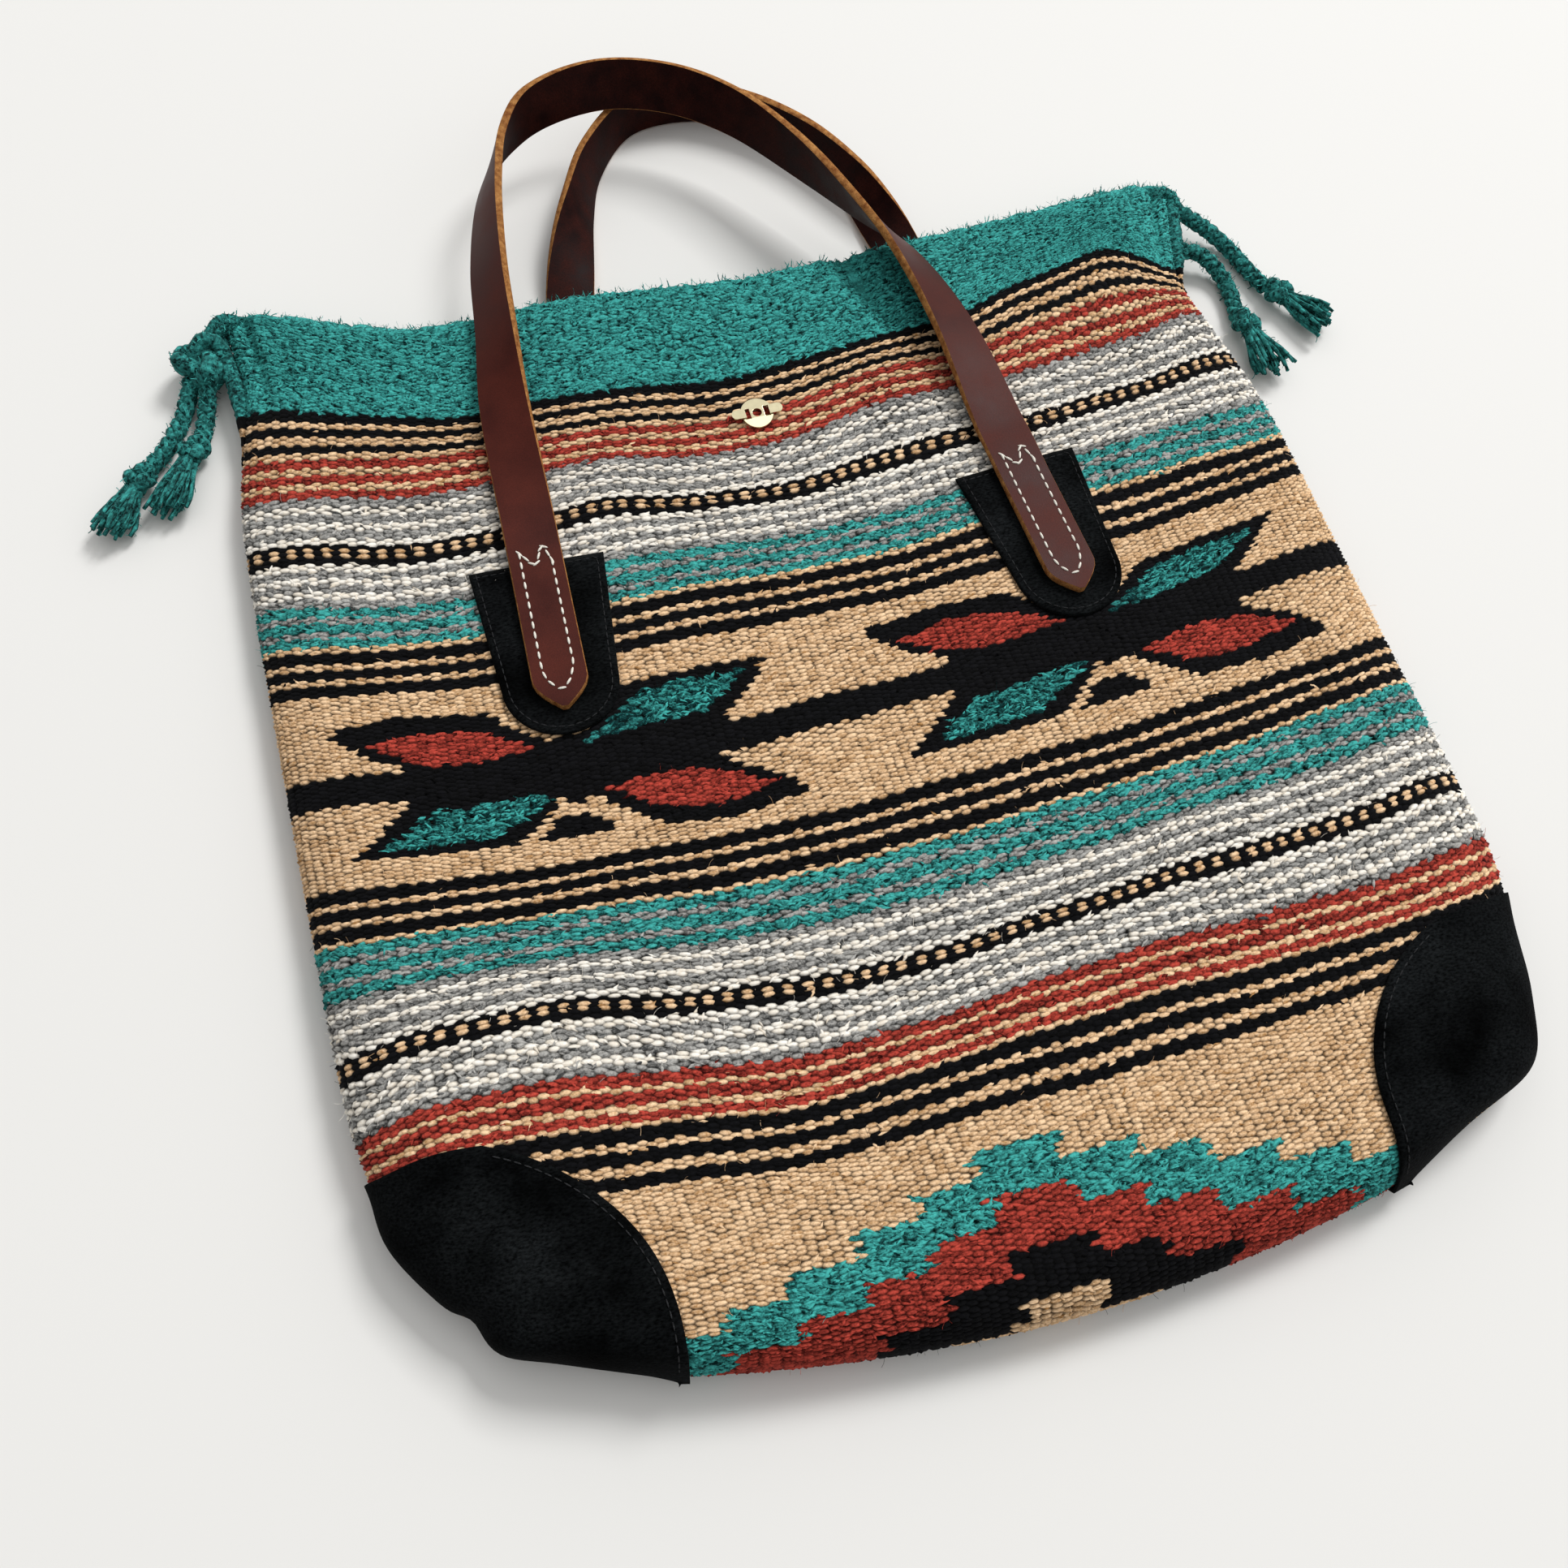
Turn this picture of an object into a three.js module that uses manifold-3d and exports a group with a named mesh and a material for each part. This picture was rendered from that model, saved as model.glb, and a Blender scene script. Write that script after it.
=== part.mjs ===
// A wool tote bag lying on its back: a striped blanket folded at the base and sewn up both sides,
// with two leather carrying straps, suede patches, a magnetic snap and knotted fringe at the mouth.
// Millimetres, +Z up, +Y from the base fold to the mouth, +X to the right.
import * as THREE from "three";
import { mergeVertices } from "three/addons/utils/BufferGeometryUtils.js";
import Module from "manifold-3d";

const wasm = await Module();
wasm.setup();

// Clearance between neighbouring pieces
const GAP = 0.3;

// Wool body, as it lies
const BODY_WIDTH = 450;
const BODY_LENGTH = 454; // along the middle, from the base fold to the mouth
const WOOL_WALL = 4;
const BASE_WIDTH = 266; // the straight part of the base fold
const CORNER_LENGTH = 93; // how far up the sides the tucked corners reach
const CORNER_POWER = 3; // how round the tucked corners are
const BASE_BOW = 15; // rise of the outermost end of the base fold over its middle
const MOUTH_BOW = 26; // the same rise along the mouth
const BASE_SAG_POWER = 1.9; // how the rows curve between the seams, at the base and at the mouth
const MOUTH_SAG_POWER = 1.25;
const MOUTH_TILT = 6.5; // the mouth's left end lies this much higher, its right end this much lower
const BASE_TILT = 5; // the same along the base fold
const MOUTH_SHIFT = 7; // how far the mouth is pulled to the right
const MOUTH_SKEW_POWER = 6; // keeps the mouth's tilt and shift close to the mouth
const BASE_SKEW_POWER = 3; // and the base's tilt close to the base
const SEAM_HEIGHT = 11; // height of the side seams and of the base fold
const BELLY_HEIGHT = 29; // the fullest part, near the base
const BELLY_START = 60; // the front starts to fall towards the mouth here
const MOUTH_FLAT = 114; // length of the level stretch at the mouth
const EDGE_ROUND = 42; // width over which the panels close to the side seams
const BASE_ROUND = 26; // length over which they close to the base fold
const SEAM_INSET = 14; // the pocket stops this far inside the side seams
const BASE_INSET = 12; // and this far above the base fold
const RIB_PITCH = 7.5; // one light and one dark line of the weft
const RIB_HEIGHT = 0.6;

// Suede patches
const SUEDE = 1.5;
const PATCH_HEIGHT = 79;
const PATCH_TOP_WIDTH = 55;
const PATCH_FOOT_WIDTH = 46;
const PATCH_FOOT_Y = 26;
const CORNER_PATCH_RADIUS = 95; // about the outermost end of the base fold's level

// Leather straps
const STRAP_WIDTH = 22;
const STRAP_THICK = 3.5;
const STRAP_BEVEL = 0.6;
const STRAP_SPACING = 217; // between the two ends of one strap
const STRAP_POINT = 13; // length of the pointed tip
const STRAP_POINT_WIDTH = 3;
const TIP_SETBACK = 10; // from the foot of the patch to the strap's tip
const SEWN_LENGTH = 86; // from the tip to where the strap comes free
const FRONT_STRAP = { centre: -7.5, lean: 3, face: 1 };
const BACK_STRAP = { centre: 12, lean: 8, face: -1 };
const LIFT_RUN = 24; // the back panel climbs onto the back strap's ends over this length

// Magnetic snap
const SNAP_X = -4;
const SNAP_DROP = 72; // below the mouth
const SNAP_DIAMETER = 18;
const SOCKET_THICK = 3.2;
const STUD_PLATE = 1.8;
const STUD_DIAMETER = 5;
const STUD_HEIGHT = 2;
const STUD_CLEARANCE = 0.4;
const WASHER_DIAMETER = 14.4;
const WASHER_THICK = 0.8;
const WASHER_HOLE = 4;
const WASHER_SLOT = 1.8;
const PRONG_SPACING = 9.3;
const PRONG_SPAN = 22.6;
const PRONG_WIDTH = 4.6;
const PRONG_THICK = 0.6;

// Fringe
const CORD_DIAMETER = 6.2;
const KNOT_EASE = 0.5; // more room before a knot, where the end of its cord still slopes
const KNOT_DIAMETER = 15;
const KNOT_LENGTH = 13;
const TUFT_NECK = 10;
const TUFT_DIAMETER = 21;
const TUFT_END_DIAMETER = 19;
const TUFT_FLATTEN = 0.68; // height of a tuft and its knot over their width
const ROOT_KNOT_SIZE = new THREE.Vector3(23, 18, 18);
const ROOT_KNOT_DROP = 7; // below the end of the mouth

// Derived sizes
const HALF = BODY_WIDTH / 2;
const MID = BODY_LENGTH / 2;
const PATCH_STACK = GAP + SUEDE;
const STRAP_STACK = PATCH_STACK + GAP + STRAP_THICK;
const CORNER_EASE = GAP + RIB_HEIGHT;
const CORNER_STACK = CORNER_EASE + SUEDE;
const SNAP_STACK = GAP + STUD_PLATE + GAP + SOCKET_THICK + GAP;
const MOUTH_HEIGHT = STRAP_STACK + WOOL_WALL + SNAP_STACK + WOOL_WALL;
const SNAP_V = BODY_LENGTH - SNAP_DROP;
const RIBS = Math.round(BODY_LENGTH / RIB_PITCH);
const LIFT_END = PATCH_FOOT_Y + MID - MOUTH_BOW;

// How finely the surfaces are divided
const ROW_STEPS = 6; // along a row, each side of the middle
const POCKET_ROWS = 16;
const PATCH_COLUMNS = 6;
const PATCH_ROWS = 9;
const PATCH_ROW_POWER = 1.6; // crowds the rows of a patch round its foot
const SEWN_STEPS = 3;
const STRAP_SECTIONS = 50;
const TIP_SECTIONS = 5;
const ROUND = 24;
const PRONG_ROUND = 8;
const KNOT_ROUND = 12;
const ROOT_KNOT_ROUND = 16;
const CORD_SIDES = 8;
const CORD_STEPS = 8;
const SEARCH_PASSES = 12;

const lerp = THREE.MathUtils.lerp;
const smooth = (t) => THREE.MathUtils.smoothstep(t, 0, 1);
const quarterRound = (t) => Math.sqrt(1 - (1 - THREE.MathUtils.clamp(t, 0, 1)) ** 2);

// Materials
const finish = (color, roughness, metalness = 0) =>
  new THREE.MeshStandardMaterial({ color, roughness, metalness });
const WOOL = finish(0xc09a6c, 0.95);
const TEAL_YARN = finish(0x1e7f78, 0.95);
const LEATHER = finish(0x55291f, 0.5);
const BLACK_SUEDE = finish(0x17181b, 0.95);
const NICKEL = finish(0xd9d2c3, 0.28, 1);

// Closed solids from rings of points, and joins and cuts between them

// Merges equal points and drops the flat triangles that a collapsed ring leaves.
function weld(geometry) {
  const bare = geometry.clone();
  bare.deleteAttribute("normal");
  bare.deleteAttribute("uv");
  const merged = mergeVertices(bare, 1e-4);
  const corners = merged.index.array;
  const kept = [];
  for (let i = 0; i < corners.length; i += 3) {
    const [a, b, c] = [corners[i], corners[i + 1], corners[i + 2]];
    if (a !== b && b !== c && c !== a) kept.push(a, b, c);
  }
  merged.setIndex(kept);
  return merged;
}

// Joins rings of equal length into one skin; capped ends are closed with a fan round their middle.
function loft(rings, capped) {
  const count = rings[0].length;
  const points = rings.flat();
  const faces = [];
  for (let r = 0; r + 1 < rings.length; r++) {
    for (let i = 0; i < count; i++) {
      const a = r * count + i;
      const b = r * count + ((i + 1) % count);
      faces.push(a, b, b + count, a, b + count, a + count);
    }
  }
  if (capped) {
    for (const [ring, start, turned] of [
      [rings[0], 0, true],
      [rings.at(-1), (rings.length - 1) * count, false],
    ]) {
      const middle = points.length;
      points.push(ring.reduce((sum, p) => sum.add(p), new THREE.Vector3()).divideScalar(count));
      for (let i = 0; i < count; i++) {
        const a = start + i;
        const b = start + ((i + 1) % count);
        faces.push(...(turned ? [b, a, middle] : [a, b, middle]));
      }
    }
  }
  const geometry = new THREE.BufferGeometry().setFromPoints(points);
  geometry.setIndex(faces);
  return weld(geometry);
}

function toManifold(geometry) {
  const welded = weld(geometry);
  const vertProperties = new Float32Array(welded.attributes.position.array);
  const triVerts = new Uint32Array(welded.index.array);
  return new wasm.Manifold(new wasm.Mesh({ numProp: 3, vertProperties, triVerts }));
}

function fromManifold(solid) {
  const { vertProperties, triVerts } = solid.getMesh();
  const geometry = new THREE.BufferGeometry();
  geometry.setAttribute("position", new THREE.BufferAttribute(new Float32Array(vertProperties), 3));
  geometry.setIndex([...triVerts]);
  return geometry;
}

// The corners of a regular polygon inside a circle.
function polygon(diameter, sides) {
  return Array.from({ length: sides }, (_, i) =>
    new THREE.Vector2(diameter / 2, 0).rotateAround(new THREE.Vector2(), (i / sides) * 2 * Math.PI));
}

function piece(name, geometry, material) {
  geometry.computeVertexNormals();
  const mesh = new THREE.Mesh(geometry, material);
  mesh.name = name;
  return mesh;
}

// The lie of the cloth: v runs from the base fold to the mouth, s from seam to seam (-1 to 1)

function halfWidth(v) {
  const rise = Math.min(v / CORNER_LENGTH, 1);
  return lerp(BASE_WIDTH / 2, HALF, 1 - (1 - rise) ** CORNER_POWER);
}

// Share of the way up to the mouth, raised so that it only acts near the mouth.
const nearMouth = (v) => (v / BODY_LENGTH) ** MOUTH_SKEW_POWER;

// How much higher the left end of a row lies than its middle, beyond its bow.
const rowTilt = (v) => MOUTH_TILT * nearMouth(v) + BASE_TILT * (1 - v / BODY_LENGTH) ** BASE_SKEW_POWER;

const columnX = (s, v, grow = 0) => s * (halfWidth(v) + grow) + MOUTH_SHIFT * nearMouth(v);

function rowY(s, v) {
  const share = v / BODY_LENGTH;
  const power = lerp(BASE_SAG_POWER, MOUTH_SAG_POWER, share);
  const bow = lerp(BASE_BOW, MOUTH_BOW, share);
  return v - MID + bow * Math.abs(s) ** power - rowTilt(v) * s;
}

// Finds s and v under a point of the plan.
function clothAt(x, y) {
  let v = y + MID;
  let s = x / HALF;
  for (let pass = 0; pass < SEARCH_PASSES; pass++) {
    s = (x - MOUTH_SHIFT * nearMouth(v)) / halfWidth(v);
    v += y - rowY(s, v);
  }
  return { s, v };
}

// How far the two panels stand apart: 0 at the seams and the base fold, 1 over the flat middle.
function fullness(s, v, inset = 0, baseInset = 0) {
  const fromSeam = (1 - Math.abs(s)) * (halfWidth(v) - inset);
  return quarterRound(fromSeam / EDGE_ROUND) * quarterRound((v - baseInset) / BASE_ROUND);
}

function frontCrown(v) {
  const fall = (v - BELLY_START) / (BODY_LENGTH - MOUTH_FLAT - BELLY_START);
  return lerp(BELLY_HEIGHT, MOUTH_HEIGHT, smooth(fall));
}

// The back lies on the ground, except over the corner patches and the back strap's ends.
function backRest(s, v) {
  const corner = Math.hypot(HALF - Math.abs(columnX(s, v)), rowY(s, v) - rowY(Math.sign(s), 0));
  const beyondPatch = corner - CORNER_PATCH_RADIUS - EDGE_ROUND;
  const overCorner = CORNER_STACK * (1 - smooth(beyondPatch / BASE_ROUND));
  const overStrap = STRAP_STACK * smooth((v - LIFT_END) / LIFT_RUN + 1);
  return Math.max(overCorner, overStrap);
}

const frontZ = (s, v) => lerp(SEAM_HEIGHT, frontCrown(v), fullness(s, v));

// Height of the cloth's outer front surface over a point of the plan, to the top of its ribs.
function frontTop(x, y) {
  const { s, v } = clothAt(x, y);
  return frontZ(s, v) + RIB_HEIGHT;
}

// Places across one row, closer together towards the seams.
const FRONT_PLACES = Array.from({ length: 2 * ROW_STEPS + 1 }, (_, i) =>
  Math.sin((i / ROW_STEPS - 1) * (Math.PI / 2)));
const BACK_PLACES = FRONT_PLACES.slice(1, -1).reverse();

// One ring of the outer skin; grow swells it, and rib raises the front.
function outerRing(v, grow, rib) {
  const y = (s) => rowY(s, v) - (v === 0 ? grow : 0);
  const front = FRONT_PLACES.map((s) => {
    const full = fullness(s, v);
    return new THREE.Vector3(columnX(s, v, grow), y(s), frontZ(s, v) + (grow + rib) * full);
  });
  const back = BACK_PLACES.map((s) => {
    const full = fullness(s, v);
    return new THREE.Vector3(
      columnX(s, v, grow), y(s), lerp(SEAM_HEIGHT, backRest(s, v), full) - grow * full);
  });
  return [...front, ...back];
}

// One ring of the pocket, a wall's thickness inside the outer skin.
function pocketRing(v) {
  const at = (s, z) => {
    const x = columnX(s, v, -SEAM_INSET);
    return new THREE.Vector3(x, rowY(s, v), lerp(SEAM_HEIGHT, z, fullness(s, v, SEAM_INSET, BASE_INSET)));
  };
  const front = FRONT_PLACES.map((s) => at(s, frontCrown(v) - WOOL_WALL));
  const back = BACK_PLACES.map((s) => at(s, backRest(s, v) + WOOL_WALL));
  return [...front, ...back];
}

const rowLength = (row) => (row / (2 * RIBS)) * BODY_LENGTH;

function bodySkin() {
  const rings = [];
  for (let row = 0; row <= 2 * RIBS; row++) {
    rings.push(outerRing(rowLength(row), 0, row % 2 ? RIB_HEIGHT : 0));
  }
  for (let row = POCKET_ROWS; row >= 0; row--) {
    rings.push(pocketRing(lerp(BASE_INSET, BODY_LENGTH, row / POCKET_ROWS)));
  }
  return loft(rings, false);
}

// A strip across the wall of the front or back where a snap prong passes.
function prongSlot(side, z) {
  const slot = new THREE.BoxGeometry(PRONG_THICK + 2 * GAP, PRONG_WIDTH + 2 * GAP, 3 * WOOL_WALL);
  return slot.translate(SNAP_X + (side * PRONG_SPACING) / 2, snapY, z);
}

const snapY = rowY((SNAP_X - MOUTH_SHIFT * nearMouth(SNAP_V)) / halfWidth(SNAP_V), SNAP_V);
const backInside = STRAP_STACK + WOOL_WALL;
const frontInside = backInside + SNAP_STACK;

function woolBody() {
  let solid = toManifold(bodySkin());
  for (const side of [-1, 1]) {
    solid = solid.subtract(toManifold(prongSlot(side, STRAP_STACK)));
    solid = solid.subtract(toManifold(prongSlot(side, MOUTH_HEIGHT)));
  }
  return piece("wool_body", fromManifold(solid), WOOL);
}

// Suede patches

// The base of the bag swollen by a distance, cut level above the corner patches.
function swollenBase(grow) {
  const rings = [];
  for (let row = 0; rowLength(row) < CORNER_PATCH_RADIUS + BASE_BOW + BASE_ROUND; row++) {
    rings.push(outerRing(rowLength(row), grow, 0));
  }
  return toManifold(loft(rings, true));
}

function cornerPatch(name, side) {
  const height = 2 * (BELLY_HEIGHT + CORNER_STACK);
  const round = new THREE.CylinderGeometry(CORNER_PATCH_RADIUS, CORNER_PATCH_RADIUS, height, 2 * ROUND);
  round.rotateX(Math.PI / 2).translate(side * HALF, rowY(side, 0), 0);
  const shell = swollenBase(CORNER_STACK).subtract(swollenBase(CORNER_EASE));
  return piece(name, fromManifold(shell.intersect(toManifold(round))), BLACK_SUEDE);
}

// Turns a place on one end of a strap, measured across and along it, into the plan.
function legPlan(strap, side) {
  const lean = THREE.MathUtils.degToRad(strap.lean);
  const foot = strap.centre + (side * STRAP_SPACING) / 2;
  return (acrossLeg, along) => ({
    x: foot - side * along * Math.sin(lean) + acrossLeg * Math.cos(lean),
    y: PATCH_FOOT_Y + along * Math.cos(lean) + side * acrossLeg * Math.sin(lean),
  });
}

// Height of a patch's face that lies against the wool.
const patchSeat = (strap, x, y) => (strap.face > 0 ? frontTop(x, y) + GAP : STRAP_STACK - GAP);

// A tongue with a round foot that widens to a straight top.
function tongueHalfWidth(along) {
  const radius = PATCH_FOOT_WIDTH / 2;
  if (along < radius) return Math.max(radius * quarterRound(along / radius), SUEDE);
  return lerp(radius, PATCH_TOP_WIDTH / 2, (along - radius) / (PATCH_HEIGHT - radius));
}

function strapPatch(name, strap, side) {
  const plan = legPlan(strap, side);
  const rings = [];
  for (let row = 0; row <= PATCH_ROWS; row++) {
    const along = PATCH_HEIGHT * (row / PATCH_ROWS) ** PATCH_ROW_POWER;
    const half = tongueHalfWidth(along);
    const seat = [];
    const face = [];
    for (let column = 0; column <= PATCH_COLUMNS; column++) {
      const { x, y } = plan(lerp(-half, half, column / PATCH_COLUMNS), along);
      const z = patchSeat(strap, x, y);
      seat.push(new THREE.Vector3(x, y, z));
      face.push(new THREE.Vector3(x, y, z + strap.face * SUEDE));
    }
    const ring = [...seat, ...face.reverse()];
    rings.push(strap.face > 0 ? ring.reverse() : ring);
  }
  return piece(name, loft(rings, true), BLACK_SUEDE);
}

// Leather straps

// Stations of each free loop: x, rise over the middle of the mouth, and roll in degrees, 0 with
// the strap's outer face up and 180 with it down.
const FRONT_LOOP = [
  [-108, -48, 20],
  [-103.5, -12, 40],
  [-98.6, 26.5, 48],
  [-89.5, 65, 62],
  [-79, 88, 80],
  [-61, 107, 104],
  [-28, 116, 119],
  [3, 108.5, 117],
  [29, 88, 105],
  [52, 55.4, 86],
  [68.5, 21.7, 62],
  [80, -7.3, 40],
  [89.4, -48, 22],
];
const BACK_LOOP = [
  [-76, -60, 180],
  [-66.5, 14, 180],
  [-61.5, 42, 152],
  [-52, 66, 130],
  [-35, 93, 125],
  [-7, 114, 125],
  [19, 113, 125],
  [40, 100, 125],
  [62, 80, 127],
  [77, 54, 136],
  [86.5, 30, 160],
  [91, 12, 180],
  [101, -60, 180],
];

// Height of a rolled strap's middle over what its lower edge or face rests on.
function restHeight(rollDegrees) {
  const roll = THREE.MathUtils.degToRad(rollDegrees);
  return (STRAP_WIDTH * Math.abs(Math.sin(roll)) + STRAP_THICK * Math.abs(Math.cos(roll))) / 2;
}

// What each strap lies on: the back one on the ground, the front one on its patches. The front
// one's free loop stays level with their tops, and over the back strap's loop.
const backLoopTop = Math.max(...BACK_LOOP.map(([, , roll]) => 2 * restHeight(roll)));
const frontLoopSeat = Math.max(MOUTH_HEIGHT + RIB_HEIGHT + PATCH_STACK, backLoopTop) + GAP;
const loopSeat = (ends) => (ends.face > 0 ? frontLoopSeat : 0);
const sewnSeat = (ends, x, y) => (ends.face > 0 ? patchSeat(ends, x, y) + SUEDE + GAP : 0);

// The sewn end of a strap, from its tip to where it comes free.
function sewnStations(ends, side) {
  const plan = legPlan(ends, side);
  return Array.from({ length: SEWN_STEPS + 1 }, (_, step) => {
    const { x, y } = plan(0, TIP_SETBACK + (step / SEWN_STEPS) * SEWN_LENGTH);
    return { seat: new THREE.Vector3(x, y, sewnSeat(ends, x, y)), roll: ends.face > 0 ? 0 : 180 };
  });
}

function loopStations(ends, loop) {
  return loop.map(([x, rise, roll]) => ({ seat: new THREE.Vector3(x, MID + rise, loopSeat(ends)), roll }));
}

// Half the strap's width at a distance from the nearer tip.
function strapHalfWidth(fromTip) {
  const share = THREE.MathUtils.clamp(fromTip / STRAP_POINT, 0, 1);
  return lerp(STRAP_POINT_WIDTH, STRAP_WIDTH, Math.sin((share * Math.PI) / 2)) / 2;
}

function strap(name, ends, loop) {
  const stations = [
    ...sewnStations(ends, -1), ...loopStations(ends, loop), ...sewnStations(ends, 1).reverse(),
  ];
  const route = new THREE.CatmullRomCurve3(stations.map(({ seat }) => seat));
  const rolls = new THREE.SplineCurve(stations.map(({ roll }, i) => new THREE.Vector2(i, roll)));
  const length = route.getLength();
  const shares = [];
  for (let i = 0; i < TIP_SECTIONS; i++) shares.push(((i / TIP_SECTIONS) * STRAP_POINT) / length);
  const tip = STRAP_POINT / length;
  for (let i = 0; i <= STRAP_SECTIONS; i++) shares.push(lerp(tip, 1 - tip, i / STRAP_SECTIONS));
  for (let i = TIP_SECTIONS - 1; i >= 0; i--) shares.push(1 - ((i / TIP_SECTIONS) * STRAP_POINT) / length);
  const rings = shares.map((share) => {
    const t = route.getUtoTmapping(share);
    const rollDegrees = rolls.getPoint(t).y;
    const roll = THREE.MathUtils.degToRad(rollDegrees);
    const centre = route.getPoint(t);
    centre.z += restHeight(rollDegrees);
    const tangent = route.getTangent(t);
    const outward = new THREE.Vector3(0, 0, 1).cross(tangent).normalize();
    const up = tangent.clone().cross(outward).normalize();
    const normal = up.clone().multiplyScalar(Math.cos(roll)).addScaledVector(outward, Math.sin(roll));
    const side = tangent.clone().cross(normal).normalize();
    const half = strapHalfWidth(Math.min(share, 1 - share) * length);
    const thick = STRAP_THICK / 2;
    const corners = [
      [half, STRAP_BEVEL - thick], [half - STRAP_BEVEL, -thick],
      [STRAP_BEVEL - half, -thick], [-half, STRAP_BEVEL - thick],
      [-half, thick - STRAP_BEVEL], [STRAP_BEVEL - half, thick],
      [half - STRAP_BEVEL, thick], [half, thick - STRAP_BEVEL],
    ];
    return corners.map(([a, b]) => centre.clone().addScaledVector(side, a).addScaledVector(normal, b));
  });
  return piece(name, loft(rings, true), LEATHER);
}

// Magnetic snap

// A prong: a riser through the wool and a round-ended tab bent outwards over the washer.
function prong(side, from, tabUnder, up) {
  const end = tabUnder + up * PRONG_THICK;
  const riser = new THREE.BoxGeometry(PRONG_THICK, PRONG_WIDTH, Math.abs(end - from));
  riser.translate((side * PRONG_SPACING) / 2, 0, (from + end) / 2);
  const inner = (PRONG_SPACING - PRONG_THICK) / 2;
  const straight = PRONG_SPAN / 2 - PRONG_WIDTH / 2;
  const outline = new THREE.Shape();
  outline.moveTo(inner, -PRONG_WIDTH / 2);
  outline.lineTo(straight, -PRONG_WIDTH / 2);
  outline.absarc(straight, 0, PRONG_WIDTH / 2, -Math.PI / 2, Math.PI / 2);
  outline.lineTo(inner, PRONG_WIDTH / 2);
  const sheet = { depth: PRONG_THICK, bevelEnabled: false, curveSegments: PRONG_ROUND };
  const tab = new THREE.ExtrudeGeometry(outline, sheet);
  if (side < 0) tab.rotateZ(Math.PI);
  tab.translate(0, 0, up > 0 ? tabUnder : tabUnder - PRONG_THICK);
  return toManifold(riser).add(toManifold(tab));
}

// One half of the snap: a turned disc on the inside with two prongs on its outer face.
function snapHalf(name, profile, from, tabUnder, up) {
  const turned = new THREE.LatheGeometry(profile.map(([r, z]) => new THREE.Vector2(r, z)), ROUND);
  turned.rotateX(Math.PI / 2);
  let solid = toManifold(turned);
  for (const side of [-1, 1]) {
    solid = solid.add(prong(side, from, tabUnder, up));
  }
  return piece(name, fromManifold(solid).translate(SNAP_X, snapY, 0), NICKEL);
}

// A backing washer with a centre hole and a slot for each prong.
function washer(name, z) {
  const round = (diameter, height) =>
    toManifold(new THREE.CylinderGeometry(diameter / 2, diameter / 2, height, ROUND).rotateX(Math.PI / 2));
  let solid = round(WASHER_DIAMETER, WASHER_THICK).subtract(round(WASHER_HOLE, 2 * WASHER_THICK));
  for (const side of [-1, 1]) {
    const slot = new THREE.BoxGeometry(WASHER_SLOT, PRONG_WIDTH + 2 * GAP, 2 * WASHER_THICK);
    solid = solid.subtract(toManifold(slot.translate((side * PRONG_SPACING) / 2, 0, 0)));
  }
  const plate = fromManifold(solid).translate(SNAP_X, snapY, z + WASHER_THICK / 2);
  return piece(name, plate, NICKEL);
}

function snapPieces() {
  const radius = SNAP_DIAMETER / 2;
  const stud = STUD_DIAMETER / 2;
  const bore = stud + STUD_CLEARANCE;
  const plate = backInside + GAP;
  const plateTop = plate + STUD_PLATE;
  const mouthOfSocket = plateTop + GAP;
  const socketTop = mouthOfSocket + SOCKET_THICK;
  const frontWasher = MOUTH_HEIGHT + RIB_HEIGHT + GAP;
  const backWasher = STRAP_STACK - GAP - WASHER_THICK;
  const socket = [
    [0, mouthOfSocket + STUD_HEIGHT + STUD_CLEARANCE], [bore, mouthOfSocket + STUD_HEIGHT + STUD_CLEARANCE],
    [bore, mouthOfSocket], [radius, mouthOfSocket], [radius, socketTop], [0, socketTop],
  ];
  const studHalf = [
    [0, plate], [radius, plate], [radius, plateTop], [stud, plateTop],
    [stud, plateTop + STUD_HEIGHT], [0, plateTop + STUD_HEIGHT],
  ];
  return [
    snapHalf("snap_socket", socket, socketTop - PRONG_THICK, frontWasher + WASHER_THICK + GAP, 1),
    snapHalf("snap_stud", studHalf, plate + PRONG_THICK, backWasher - GAP, -1),
    washer("snap_washer_front", frontWasher),
    washer("snap_washer_back", backWasher),
  ];
}

// Fringe at the two ends of the mouth

// Routes of the cords from the bag to their knots, and the ends of the tufts beyond.
const FRINGE = {
  left_upper: {
    route: [
      [-233, 243.6, 6.7], [-234.8, 237.6, 4.6], [-237.2, 230.5, 4], [-241.5, 221.5, 4],
      [-247.2, 212, 4], [-254.2, 202.4, 4.6],
    ],
    tuft: [-279.3, 169.5],
  },
  left_lower: {
    route: [
      [-222.9, 239, 10.8], [-225.4, 235.6, 9.2], [-227.8, 230, 6.6], [-229.8, 222.5, 4.6],
      [-231.6, 214, 4], [-233.6, 203.4, 4.6],
    ],
    tuft: [-250.5, 172],
  },
  right_upper: {
    route: [
      [233.2, 231.6, 10.8], [237.6, 228, 8.6], [242.6, 222.4, 6], [248, 215, 4.2],
      [253, 206.4, 4], [257, 197.4, 4], [260.4, 188.4, 4.6],
    ],
    tuft: [280.1, 152.8],
  },
  right_lower: {
    route: [
      [230.6, 210, 10.8], [234.6, 208.4, 9.2], [238.6, 204.4, 6.6], [241.6, 198, 4.6],
      [243, 190, 4], [242.6, 181.6, 4], [241.6, 173.6, 4.6],
    ],
    tuft: [243.6, 137.5],
  },
};

function cord(name, route) {
  const path = new THREE.CatmullRomCurve3(route.map((p) => new THREE.Vector3(...p)));
  const section = new THREE.Shape(polygon(CORD_DIAMETER, CORD_SIDES));
  const tube = new THREE.ExtrudeGeometry(section, { steps: CORD_STEPS, extrudePath: path });
  return piece(name, weld(tube), TEAL_YARN);
}

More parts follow.
